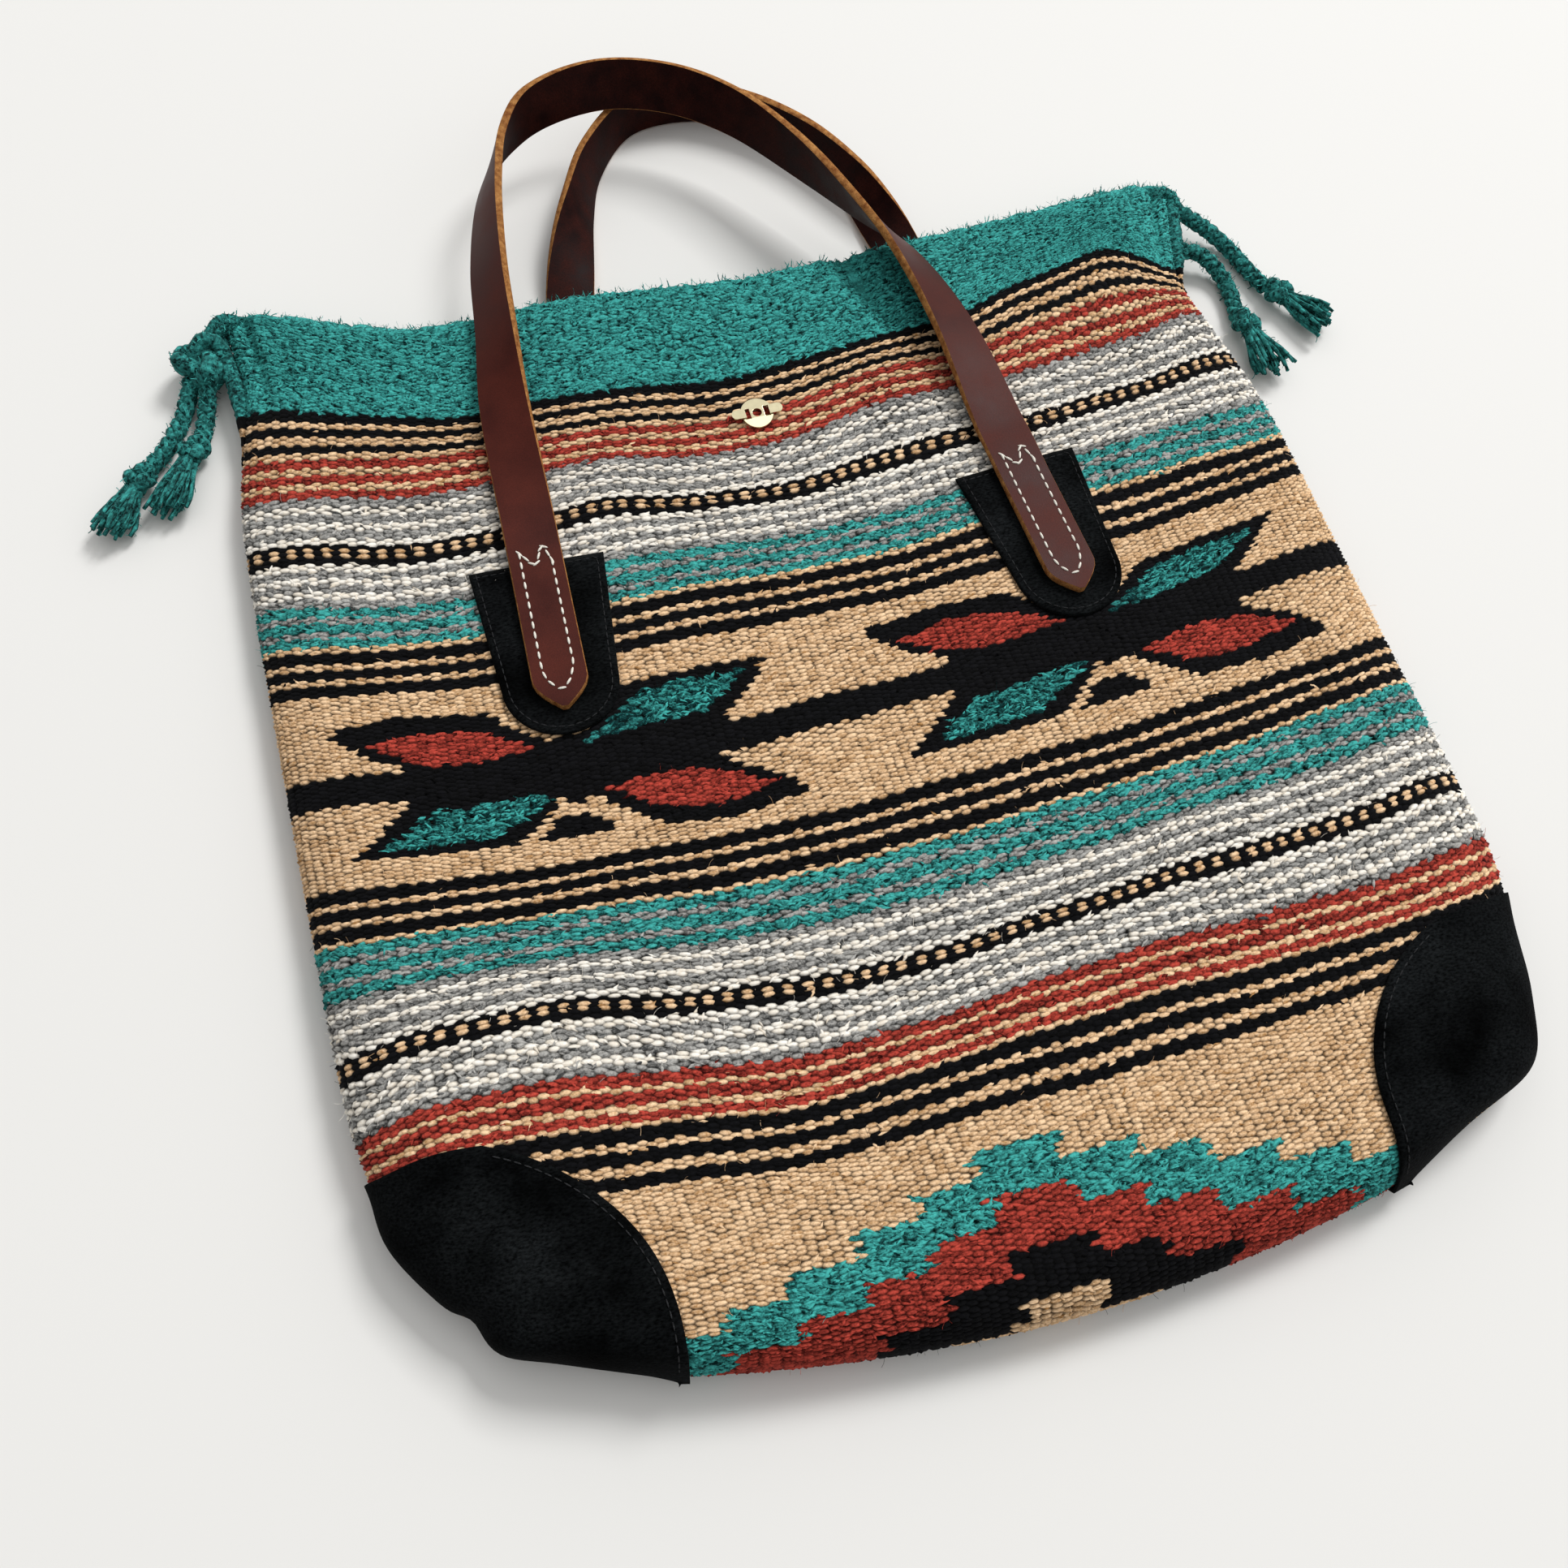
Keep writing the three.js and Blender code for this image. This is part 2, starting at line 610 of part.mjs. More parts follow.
// An overhand knot with the frayed end of its cord, turned along the cord and flattened as it lies.
function knot(name, route, tuft) {
  const end = new THREE.Vector3(...route.at(-1));
  const before = new THREE.Vector3(...route.at(-2));
  const along = end.clone().sub(before).setZ(0).normalize();
  const start = end.clone().addScaledVector(along, GAP + KNOT_EASE);
  const reach = new THREE.Vector2(tuft[0] - start.x, tuft[1] - start.y);
  const length = reach.length();
  const profile = [
    [0, 0], [CORD_DIAMETER / 2, 0], [KNOT_DIAMETER / 2, KNOT_LENGTH / 3],
    [KNOT_DIAMETER / 2, (KNOT_LENGTH * 2) / 3], [TUFT_NECK / 2, KNOT_LENGTH],
    [TUFT_DIAMETER / 2, (KNOT_LENGTH + length) / 2],
    [TUFT_END_DIAMETER / 2, length], [0, length],
  ];
  const turned = new THREE.LatheGeometry(profile.map(([r, z]) => new THREE.Vector2(r, z)), KNOT_ROUND);
  turned.scale(1, 1, TUFT_FLATTEN);
  const mesh = piece(name, weld(turned), TEAL_YARN);
  mesh.position.set(start.x, start.y, (TUFT_DIAMETER / 2) * TUFT_FLATTEN);
  mesh.rotation.z = Math.atan2(reach.y, reach.x) - Math.PI / 2;
  return mesh;
}

// The wound knot that ties the left fringe to the end of the mouth.
function rootKnot() {
  const v = BODY_LENGTH - ROOT_KNOT_DROP;
  const ball = new THREE.SphereGeometry(0.5, ROOT_KNOT_ROUND, ROOT_KNOT_ROUND / 2);
  ball.scale(ROOT_KNOT_SIZE.x, ROOT_KNOT_SIZE.y, ROOT_KNOT_SIZE.z);
  const mesh = piece("tassel_root_knot", weld(ball), TEAL_YARN);
  mesh.position.set(columnX(-1, v) - GAP - ROOT_KNOT_SIZE.x / 2, rowY(-1, v), SEAM_HEIGHT);
  return mesh;
}

function fringePieces() {
  const pieces = [rootKnot()];
  for (const [place, { route, tuft }] of Object.entries(FRINGE)) {
    pieces.push(cord(`tassel_cord_${place}`, route));
    pieces.push(knot(`tassel_knot_${place}`, route, tuft));
  }
  return pieces;
}

// The bag, with its sewn pieces and its fringe
const sewn = new THREE.Group();
sewn.add(woolBody());
sewn.add(cornerPatch("corner_patch_left", -1));
sewn.add(cornerPatch("corner_patch_right", 1));
for (const [place, ends] of [["front", FRONT_STRAP], ["back", BACK_STRAP]]) {
  sewn.add(strapPatch(`strap_patch_${place}_left`, ends, -1));
  sewn.add(strapPatch(`strap_patch_${place}_right`, ends, 1));
}
sewn.add(strap("strap_front", FRONT_STRAP, FRONT_LOOP));
sewn.add(strap("strap_back", BACK_STRAP, BACK_LOOP));
for (const half of snapPieces()) {
  sewn.add(half);
}

// The origin lies on the ground under the middle of the sewn pieces.
const middle = new THREE.Box3().setFromObject(sewn).getCenter(new THREE.Vector3());
const bag = new THREE.Group();
bag.position.set(-middle.x, -middle.y, 0);
bag.add(sewn);
for (const tassel of fringePieces()) {
  bag.add(tassel);
}

export default bag;
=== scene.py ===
"""Dresses a striped wool tote bag that lies on its back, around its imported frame.

Shapes are worked out in millimetres on the cloth's own plan and then set in the frame, in metres.
"""
from __future__ import annotations

import logging
import math
import re
from collections.abc import Callable
from dataclasses import dataclass, field
from enum import Enum, IntEnum

import bmesh
import bpy
import numpy as np
from mathutils import Matrix, Vector


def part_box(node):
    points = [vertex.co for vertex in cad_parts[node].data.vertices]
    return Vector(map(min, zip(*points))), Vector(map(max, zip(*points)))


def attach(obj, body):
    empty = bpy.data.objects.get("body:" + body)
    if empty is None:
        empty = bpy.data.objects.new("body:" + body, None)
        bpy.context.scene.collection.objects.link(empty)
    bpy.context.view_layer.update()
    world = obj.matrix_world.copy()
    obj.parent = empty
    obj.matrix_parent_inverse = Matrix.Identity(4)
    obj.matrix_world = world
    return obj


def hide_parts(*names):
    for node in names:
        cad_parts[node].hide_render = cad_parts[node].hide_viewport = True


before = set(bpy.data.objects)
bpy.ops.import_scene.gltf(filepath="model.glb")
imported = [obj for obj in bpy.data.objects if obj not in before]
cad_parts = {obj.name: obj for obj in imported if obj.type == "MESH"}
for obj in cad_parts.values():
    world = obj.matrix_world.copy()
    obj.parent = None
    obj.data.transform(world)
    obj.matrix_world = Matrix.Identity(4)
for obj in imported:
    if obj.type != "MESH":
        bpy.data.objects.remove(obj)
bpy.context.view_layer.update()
MM = 0.001
BODY = "root"
LOG = logging.getLogger("tote_bag")
GOLDEN_TURN = math.pi * (3 - math.sqrt(5))
Array = np.ndarray
Number = float | Array
Place = tuple[float, float]
Point = tuple[float, float, float]
Places = tuple[Place, ...]
Points = tuple[Point, ...]
Pair = tuple[Array, Array]
Mesh = bpy.types.Mesh
Object = bpy.types.Object
Material = bpy.types.Material
NodeTree = bpy.types.NodeTree
Node = bpy.types.Node
Socket = bpy.types.NodeSocket


class Yarn(IntEnum):
    """The blanket's yarns, in the order of the wool finish's colours."""

    TAN = 0
    BLACK = 1
    RED = 2
    TEAL = 3
    CREAM = 4
    GREY = 5


class Panel(Enum):
    """The two panels of the folded blanket."""

    FRONT = 1
    BACK = -1


# Small tools


def lerp(start: Number, end: Number, share: Number) -> Number:
    """Value a share of the way from start to end."""
    return start + (end - start) * share


def smooth(share: Number) -> Number:
    """Eased share, held between 0 and 1."""
    held = np.clip(share, 0.0, 1.0)
    return held * held * (3.0 - 2.0 * held)


def quarter_round(share: Number) -> Number:
    """Height of a quarter circle at a share of its width."""
    return np.sqrt(1.0 - (1.0 - np.clip(share, 0.0, 1.0)) ** 2)


def linear(code: str) -> tuple[float, ...]:
    """Linear red, green, blue and full opacity of an sRGB colour in six hex digits."""
    parts = [int(code[i : i + 2], 16) / 255.0 for i in (0, 2, 4)]
    return *(p / 12.92 if p <= 0.04045 else ((p + 0.055) / 1.055) ** 2.4 for p in parts), 1.0


def unit(vectors: Array) -> Array:
    """Vectors scaled to length 1, row by row."""
    return vectors / np.maximum(np.linalg.norm(vectors, axis=-1, keepdims=True), 1e-9)


def inside(polygon: Places, x: Array, y: Array) -> Array:
    """Which points lie in a convex polygon whose corners run anticlockwise."""
    found = np.ones_like(x, dtype=bool)
    for (ax, ay), (bx, by) in zip(polygon, polygon[1:] + polygon[:1]):
        found &= (bx - ax) * (y - ay) - (by - ay) * (x - ax) >= 0.0
    return found


def catmull_rom(points: Array, counts: int, centripetal: bool) -> Array:
    """Samples a Catmull-Rom curve evenly in its own parameter.

    Args:
        points: the stations, one a row.
        counts: samples in each span.
        centripetal: whether spans are weighted by the root of their length.

    Returns:
        The samples, from the first station to the last.
    """
    ends = np.vstack([2 * points[0] - points[1], points, 2 * points[-1] - points[-2]])
    samples = []
    for i in range(len(points) - 1):
        p0, p1, p2, p3 = ends[i : i + 4]
        if centripetal:
            d0, d1, d2 = (math.sqrt(np.linalg.norm(b - a)) for a, b in ((p0, p1), (p1, p2), (p2, p3)))
            leave = ((p1 - p0) / d0 - (p2 - p0) / (d0 + d1) + (p2 - p1) / d1) * d1
            arrive = ((p2 - p1) / d1 - (p3 - p1) / (d1 + d2) + (p3 - p2) / d2) * d1
        else:
            leave, arrive = (p2 - p0) / 2, (p3 - p1) / 2
        t = np.linspace(0.0, 1.0, counts, endpoint=False)[:, None]
        samples.append(
            (2 * t**3 - 3 * t**2 + 1) * p1 + (t**3 - 2 * t**2 + t) * leave
            + (3 * t**2 - 2 * t**3) * p2 + (t**3 - t**2) * arrive)
    return np.vstack([*samples, points[-1:]])


def run_lengths(points: Array) -> Array:
    """Distance along a line of points, from its start to each of them."""
    return np.concatenate([[0.0], np.cumsum(np.linalg.norm(np.diff(points, axis=0), axis=1))])


def resample(points: Array, count: int) -> Array:
    """A line of points, made even along its length."""
    lengths = run_lengths(points)
    even = np.linspace(0.0, lengths[-1], count)
    return np.stack([np.interp(even, lengths, points[:, k]) for k in range(points.shape[1])], axis=1)


def grid_faces(rows: int, columns: int, closed: bool = False) -> list[tuple[int, ...]]:
    """Four-sided faces of a grid of points, wound anticlockwise seen with rows up and columns right."""
    faces = []
    for r in range(rows - 1):
        for c in range(columns if closed else columns - 1):
            a = r * columns + c
            b = r * columns + (c + 1) % columns
            faces.append((a, b, b + columns, a + columns))
    return faces


def tube(line: Array, radius: Array, sides: int, offset: int) -> tuple[Array, list]:
    """A closed tube round a line of points.

    Args:
        line: its middle line.
        radius: its radius at each point.
        sides: sides of its section.
        offset: number of the first point it adds to its mesh.

    Returns:
        Points and faces.
    """
    tangent = unit(np.gradient(line, axis=0))
    held = np.array([0.0, 0.0, 1.0]) if abs(tangent[0, 2]) < 0.9 else np.array([1.0, 0.0, 0.0])
    across = np.empty_like(line)
    for k, way in enumerate(tangent):
        held = held - way * held.dot(way)
        held = held / np.linalg.norm(held)
        across[k] = held
    up = np.cross(tangent, across)
    turn = np.linspace(0.0, 2 * math.pi, sides, endpoint=False)
    ring = across[:, None] * np.cos(turn)[None, :, None] + up[:, None] * np.sin(turn)[None, :, None]
    points = (line[:, None] + ring * np.asarray(radius)[:, None, None]).reshape(-1, 3)
    faces = [tuple(k + offset for k in face) for face in grid_faces(len(line), sides, closed=True)]
    faces.append(tuple(offset + k for k in range(sides))[::-1])
    last = offset + (len(line) - 1) * sides
    faces.append(tuple(last + k for k in range(sides)))
    return points, faces


def make_mesh(name: str, points: Array, faces: list | Array) -> Mesh:
    """A smooth mesh in metres in the shared frame, from points in millimetres on the cloth's plan."""
    mesh = bpy.data.meshes.new(name)
    corners = faces.tolist() if isinstance(faces, np.ndarray) else faces
    mesh.from_pydata(((points.reshape(-1, 3) + ORIGIN) * MM).tolist(), [], corners)
    mesh.polygons.foreach_set("use_smooth", np.ones(len(mesh.polygons), bool))
    mesh.update()
    return mesh


def set_attribute(mesh: Mesh, name: str, domain: str, values: Array) -> None:
    """Stores a number for each point or face of a mesh."""
    layer = mesh.attributes.new(name, "FLOAT", domain)
    layer.data.foreach_set("value", np.asarray(values, dtype=np.float32))


def set_wool(mesh: Mesh, yarn: Array, shade: Array, depth: Array) -> None:
    """Stores what the wool finish reads: the yarn and shade of each face and the depth of each point, which
    the finish darkens as painted shade where it is low.
    """
    set_attribute(mesh, "yarn", "FACE", yarn)
    set_attribute(mesh, "shade", "FACE", shade)
    set_attribute(mesh, "depth", "POINT", depth)


def link(name: str, data: bpy.types.ID) -> Object:
    """Adds an object to the scene."""
    thing = bpy.data.objects.new(name, data)
    bpy.context.scene.collection.objects.link(thing)
    return thing


def take_mesh(name: str, carrier: Object) -> Mesh:
    """Keeps what an object's curves or modifiers make as a plain mesh, and takes the object away."""
    graph = bpy.context.evaluated_depsgraph_get()
    made = bpy.data.meshes.new_from_object(carrier.evaluated_get(graph))
    made.name = name
    carrier.modifiers.clear()
    bpy.data.objects.remove(carrier)
    return made


def add_piece(mesh: Mesh, materials: list[Material], slot: str, *stands_for: str) -> Object:
    """Adds a finished piece that rides on the bag, under its mesh's name.

    Args:
        mesh: the piece's mesh, in place.
        materials: its finishes, in the order of the mesh's material indices.
        slot: not used.
        stands_for: the CAD nodes that it replaces.

    Returns:
        The new object.
    """
    piece = link(mesh.name, mesh)
    if mesh.materials:
        mesh.materials.clear()
    for material in materials:
        mesh.materials.append(material)
    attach(piece, BODY)
    if stands_for:
        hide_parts(*stands_for)
    LOG.info("%s: %d faces", piece.name, len(mesh.polygons))
    return piece


# Nodes


def feed(tree: NodeTree, node: Node, inputs: dict) -> None:
    """Sets a node's inputs, by name or number, to values, sockets or the first outputs of other nodes."""
    for key, value in inputs.items():
        source = value.outputs[0] if isinstance(value, Node) else value
        if isinstance(source, Socket):
            tree.links.new(source, node.inputs[key])
        else:
            node.inputs[key].default_value = source


def add_node(tree: NodeTree, kind: str, inputs: dict | None = None, **settings) -> Node:
    """Adds a node of a kind with its own settings, values and links."""
    node = tree.nodes.new(kind)
    for key, value in settings.items():
        setattr(node, key, value)
    feed(tree, node, inputs or {})
    return node


def new_tree(name: str, sockets: dict[str, str]) -> tuple[NodeTree, bpy.types.NodeOutputs]:
    """Starts a Geometry Nodes tree.

    Args:
        name: the tree's name.
        sockets: its inputs besides the geometry, with the kind of each.

    Returns:
        The tree and the sockets that hand out what it is given.
    """
    tree = bpy.data.node_groups.new(name, "GeometryNodeTree")
    for label, kind in {"Geometry": "Geometry", **sockets}.items():
        tree.interface.new_socket(label, in_out="INPUT", socket_type="NodeSocket" + kind)
    tree.interface.new_socket("Geometry", in_out="OUTPUT", socket_type="NodeSocketGeometry")
    return tree, add_node(tree, "NodeGroupInput").outputs


def end_tree(tree: NodeTree, geometry: Node, finish: Socket) -> NodeTree:
    """Dresses what a Geometry Nodes tree has made and hands out the tree."""
    dressed = add_node(tree, "GeometryNodeSetMaterial", {"Geometry": geometry, "Material": finish})
    add_node(tree, "NodeGroupOutput", {"Geometry": dressed})
    return tree


def evaluated_mesh(name: str, host: Mesh, tree: NodeTree, values: dict) -> Mesh:
    """Runs a Geometry Nodes tree on a mesh and keeps the result as a plain mesh.

    Args:
        name: name of the new mesh.
        host: the mesh that the tree starts from.
        tree: the Geometry Nodes tree.
        values: its inputs by name.

    Returns:
        The made mesh.
    """
    carrier = link(name + "_carrier", host)
    modifier = carrier.modifiers.new(name, "NODES")
    modifier.node_group = tree
    for socket in tree.interface.items_tree:
        if socket.item_type == "SOCKET" and socket.in_out == "INPUT" and socket.name in values:
            modifier[socket.identifier] = values[socket.name]
    return take_mesh(name, carrier)


# Finishes


RANGE = ("From Min", "From Max", "To Min", "To Max")
NOISE_SPAN = (0.3, 0.7)  # where most of a noise's values lie


def new_finish(name: str) -> tuple[Material, NodeTree, Socket]:
    """Starts a material, and hands it out with its nodes and the piece's own space."""
    material = bpy.data.materials.new(name)
    material.use_nodes = True
    where = add_node(material.node_tree, "ShaderNodeTexCoord").outputs["Object"]
    return material, material.node_tree, where


def end_finish(material: Material, inputs: dict) -> Material:
    """Feeds a material's shader and hands out the material."""
    feed(material.node_tree, material.node_tree.nodes["Principled BSDF"], inputs)
    return material


def set_stops(ramp: Node, places: list[float] | Place, codes: tuple[str, ...]) -> None:
    """Sets where each colour of a ramp stands."""
    stops = ramp.color_ramp.elements
    while len(stops) < len(codes):
        stops.new(1.0)
    for stop, place, code in zip(stops, places, codes):
        stop.position = place
        stop.color = linear(code)


@dataclass(frozen=True)
class WoolFinish:
    """Hand-spun blanket wool: matt, heathered yarn, drawn darker towards the hollows between the beads of
    the weave as painted shade.
    """

    name: str = "blanket_wool"
    light: tuple[str, ...] = ("fcd8ae", "0f0f12", "c44b3d", "4ab8b1", "fffaf0", "b7b5b0")
    deep: tuple[str, ...] = ("a97c4a", "010101", "3c0907", "02292a", "e6dac7", "3f4040")
    fibre_mm: float = 1.0  # size of the heather in a yarn, drawn coarse enough to show
    heather: tuple[float, ...] = (0.32, 0.68, -0.2, 0.5)  # its range, and the tones that it gives
    strand_mm: Place = (2.6, 0.36)  # a ply's length and width on the surface
    slant: float = 0.45  # how far the plies lean on a bead
    streak: Place = (0.0, 0.36)  # tones that the plies give
    uneven: float = 0.54  # how far a bead's own shade counts
    hollow: tuple[float, ...] = (0.0, 0.93, 0.08, 1.0)  # a place's depth, and how much of its colour is left there, as painted shade
    relief_mm: float = 0.2

    def build(self) -> Material:
        """Makes the material, which reads the yarn, shade and depth of each bead."""
        material, tree, where = new_finish(self.name)
        yarn, shade, depth = (
            add_node(tree, "ShaderNodeAttribute", attribute_name=label).outputs["Fac"]
            for label in ("yarn", "shade", "depth"))
        count = len(self.light)
        place = add_node(tree, "ShaderNodeMath", {0: yarn, 1: 1 / count, 2: 0.5 / count},
                         operation="MULTIPLY_ADD")
        dyes = []
        for codes in (self.deep, self.light):
            dye = add_node(tree, "ShaderNodeValToRGB", {"Fac": place})
            dye.color_ramp.interpolation = "CONSTANT"
            set_stops(dye, [i / count for i in range(count)], codes)
            dyes.append(dye)
        heather = add_node(tree, "ShaderNodeTexNoise", {
            "Vector": where, "Scale": 1 / (self.fibre_mm * MM), "Detail": 3.0, "Roughness": 0.65})
        long, wide = (1 / (size * MM) for size in self.strand_mm)
        strands = add_node(tree, "ShaderNodeMapping", {
            "Vector": where, "Rotation": (0.0, 0.0, self.slant), "Scale": (long, wide, wide)})
        ply = add_node(tree, "ShaderNodeTexNoise", {"Vector": strands, "Scale": 1.0, "Detail": 2.0})
        speckle = add_node(tree, "ShaderNodeMapRange", {"Value": heather, **dict(zip(RANGE, self.heather))})
        streak = add_node(tree, "ShaderNodeMapRange", {
            "Value": ply, **dict(zip(RANGE, NOISE_SPAN + self.streak))})
        tone = add_node(tree, "ShaderNodeMath", {0: speckle, 1: streak}, operation="ADD")
        tone = add_node(tree, "ShaderNodeMath", {0: shade, 1: self.uneven, 2: tone},
                        operation="MULTIPLY_ADD")
        dyed = add_node(tree, "ShaderNodeMix", {"Factor": tone, "A": dyes[0], "B": dyes[1]},
                        data_type="RGBA")
        # Painted shade: the colour is darkened where the depth is low, at the beads' rims and in the
        # hollows between them.
        hollow = add_node(tree, "ShaderNodeMapRange", {"Value": depth, **dict(zip(RANGE, self.hollow))},
                          interpolation_type="SMOOTHSTEP")
        colour = add_node(tree, "ShaderNodeHueSaturation", {
            "Value": hollow, "Color": dyed.outputs["Result"]})
        bump = add_node(tree, "ShaderNodeBump", {
            "Height": ply, "Distance": self.relief_mm * MM, "Strength": 0.8})
        return end_finish(material, {
            "Base Color": colour, "Normal": bump, "Roughness": 0.95, "Specular IOR Level": 0.08,
            "Sheen Weight": 0.02, "Sheen Roughness": 0.6})


@dataclass(frozen=True)
class HideFinish:
    """Tanned hide: a ground colour with drifting patches, a fine grain and a soft or dull gloss."""

    name: str
    ground: str
    patch: str
    grain_mm: float
    patch_mm: float
    relief_mm: float
    roughness: Place
    gloss: float
    sheen: float = 0.0
    contrast: float = 0.18  # how strongly the grain lightens and darkens the colour
    nap: Place = (1.0, 0.0)  # how far the grain is drawn out, and its turn
    patch_span: Place = (0.32, 0.72)  # where the patches' noise turns from ground to patch

    def build(self) -> Material:
        """Makes the material."""
        material, tree, where = new_finish(self.name)
        cloud = add_node(tree, "ShaderNodeTexNoise", {
            "Vector": where, "Scale": 1 / (self.patch_mm * MM), "Detail": 4.0})
        drawn, turn = self.nap
        brushed = add_node(tree, "ShaderNodeMapping", {
            "Vector": where, "Rotation": (0.0, 0.0, turn), "Scale": (1 / drawn, 1.0, 1.0)})
        grain = add_node(tree, "ShaderNodeTexNoise", {
            "Vector": brushed, "Scale": 1 / (self.grain_mm * MM), "Detail": 3.0})
        drift = add_node(tree, "ShaderNodeValToRGB", {"Fac": cloud})
        set_stops(drift, self.patch_span, (self.ground, self.patch))
        tones = (1 - self.contrast, 1 + self.contrast)
        tone = add_node(tree, "ShaderNodeMapRange", {
            "Value": grain, **dict(zip(RANGE, NOISE_SPAN + tones))})
        colour = add_node(tree, "ShaderNodeHueSaturation", {"Value": tone, "Color": drift})
        rough = add_node(tree, "ShaderNodeMapRange", {
            "Value": cloud, **dict(zip(RANGE, NOISE_SPAN + self.roughness))})
        bump = add_node(tree, "ShaderNodeBump", {
            "Height": grain, "Distance": self.relief_mm * MM, "Strength": 0.7})
        return end_finish(material, {
            "Base Color": colour, "Normal": bump, "Roughness": rough, "Specular IOR Level": self.gloss,
            "Sheen Weight": self.sheen, "Sheen Roughness": 0.4})


@dataclass(frozen=True)
class PlateFinish:
    """Nickel plate on pressed steel: bright, with a faint brushed haze."""

    name: str = "nickel_plate"
    tint: str = "d6cca9"
    haze_mm: float = 2.5
    roughness: Place = (0.14, 0.26)

    def build(self) -> Material:
        """Makes the material."""
        material, tree, where = new_finish(self.name)
        low, high = self.roughness
        haze = add_node(tree, "ShaderNodeTexNoise", {
            "Vector": where, "Scale": 1 / (self.haze_mm * MM), "Detail": 3.0})
        rough = add_node(tree, "ShaderNodeMapRange", {"Value": haze, "To Min": low, "To Max": high})
        return end_finish(material, {"Base Color": linear(self.tint), "Metallic": 1.0, "Roughness": rough})


@dataclass(frozen=True)
class ThreadFinish:
    """Waxed sewing thread of one colour, with its twist as a fine streak."""

    name: str
    colour: str
    deep: str
    twist_mm: float = 0.5
    twist_span: Place = (0.3, 0.68)
    relief_mm: float = 0.06

    def build(self) -> Material:
        """Makes the material."""
        material, tree, where = new_finish(self.name)
        fibre = add_node(tree, "ShaderNodeTexNoise", {
            "Vector": where, "Scale": 1 / (self.twist_mm * MM), "Detail": 3.0})
        twist = add_node(tree, "ShaderNodeValToRGB", {"Fac": fibre})
        set_stops(twist, self.twist_span, (self.deep, self.colour))
        bump = add_node(tree, "ShaderNodeBump", {
            "Height": fibre, "Distance": self.relief_mm * MM, "Strength": 0.8})
        return end_finish(material, {
            "Base Color": twist, "Normal": bump, "Roughness": 0.9, "Specular IOR Level": 0.2})


class Finishes:
    """Every material of the bag, made once."""

    def __init__(self) -> None:
        """Builds the materials."""
        self.wool = WoolFinish().build()
        # The suede's lighter patches are partly its own mottled nap and partly painted sheen and shading of
        # its folds.
        self.suede = HideFinish(
            "black_suede", "000000", "151718", 0.8, 32.0, 0.5, (0.9, 1.0), 0.02,
            0.012, 0.8, (1.9, 0.5)).build()
        self.strap_face = HideFinish(
            "oiled_strap_leather", "38120c", "4b1d14", 0.5, 22.0, 0.05, (0.4, 0.56), 0.1).build()
        # The flesh side is drawn much darker than the face: partly its own colour and partly painted shade.
        self.strap_inside = HideFinish(
            "strap_flesh_side", "180403", "2f0f09", 0.6, 9.0, 0.12, (0.55, 0.7), 0.08, 0.0, 0.4).build()
        self.raw_edge = HideFinish(
            "raw_leather_edge", "744624", "ad7c48", 0.45, 2.5, 0.18, (0.8, 0.92), 0.05, 0.0, 0.3).build()
        self.nickel = PlateFinish().build()
        self.white_thread = ThreadFinish("white_waxed_thread", "efece3", "c9c3b4").build()
        self.black_thread = ThreadFinish("black_waxed_thread", "2e2f31", "0e0e0f").build()


# The lie of the cloth


@dataclass(frozen=True)
class Pull:
    """A soft place in the cloth: where it is, how far around it the cloth follows, and the move there.

    s runs from seam to seam, v from the base fold to the mouth, and the moves are in millimetres.
    """

    s: float
    v: float
    reach_s: float
    reach_v: float
    rise: float
    aside: float = 0.0

    def share(self, s: Array, v: Array) -> Array:
        """How much of the move a place on the cloth takes."""
        return np.exp(-(((s - self.s) / self.reach_s) ** 2 + ((v - self.v) / self.reach_v) ** 2))


def pulls(*rows: tuple[float, ...]) -> tuple[Pull, ...]:
    """Soft places, each from a row of its values."""
    return tuple(Pull(*row) for row in rows)


# Where the rows of the weave lie higher or lower than they would on a flat bag.
RIPPLES = pulls(
    (-0.65, 300, 0.22, 75, -8.5), (-0.65, 460, 0.25, 45, -12.0), (-0.66, 131, 0.20, 28, 7.5),
    (-0.45, 215, 0.35, 25, -4.0), (-0.30, 92, 0.17, 30, -4.5), (-0.35, 352, 0.12, 30, 4.5),
    (0.25, 372, 0.18, 35, 8.0), (0.72, 400, 0.22, 26, 13.0), (0.98, 412, 0.09, 30, -9.0),
    (0.86, 404, 0.14, 22, 5.0), (0.97, 368, 0.10, 22, 5.5), (0.92, 312, 0.14, 18, -3.5),
    (0.56, 390, 0.10, 36, 3.6), (0.72, 470, 0.35, 22, -4.5), (-0.80, 470, 0.25, 22, -4.0),
    (-0.97, 412, 0.12, 22, 4.0), (-0.56, 410, 0.13, 25, -4.5), (-0.92, 310, 0.20, 42, -5.5),
    (-0.85, 235, 0.40, 55, -3.4), (-0.03, 384, 0.06, 14, 2.2), (-0.20, 250, 0.12, 34, -2.4),
    (-0.32, 168, 0.14, 18, -2.6), (-0.14, 132, 0.10, 22, -1.4), (0.08, 110, 0.12, 20, 1.4),
    (0.50, 146, 0.14, 20, 2.6), (0.50, 84, 0.14, 20, -2.0), (0.57, 255, 0.10, 50, -1.5),
    (0.84, 205, 0.10, 20, -2.4), (0.70, 280, 0.35, 24, -4.5), (0.25, 112, 0.20, 30, 3.0),
    (0.85, 95, 0.28, 25, -5.0), (-0.08, 398, 0.10, 25, -2.5))
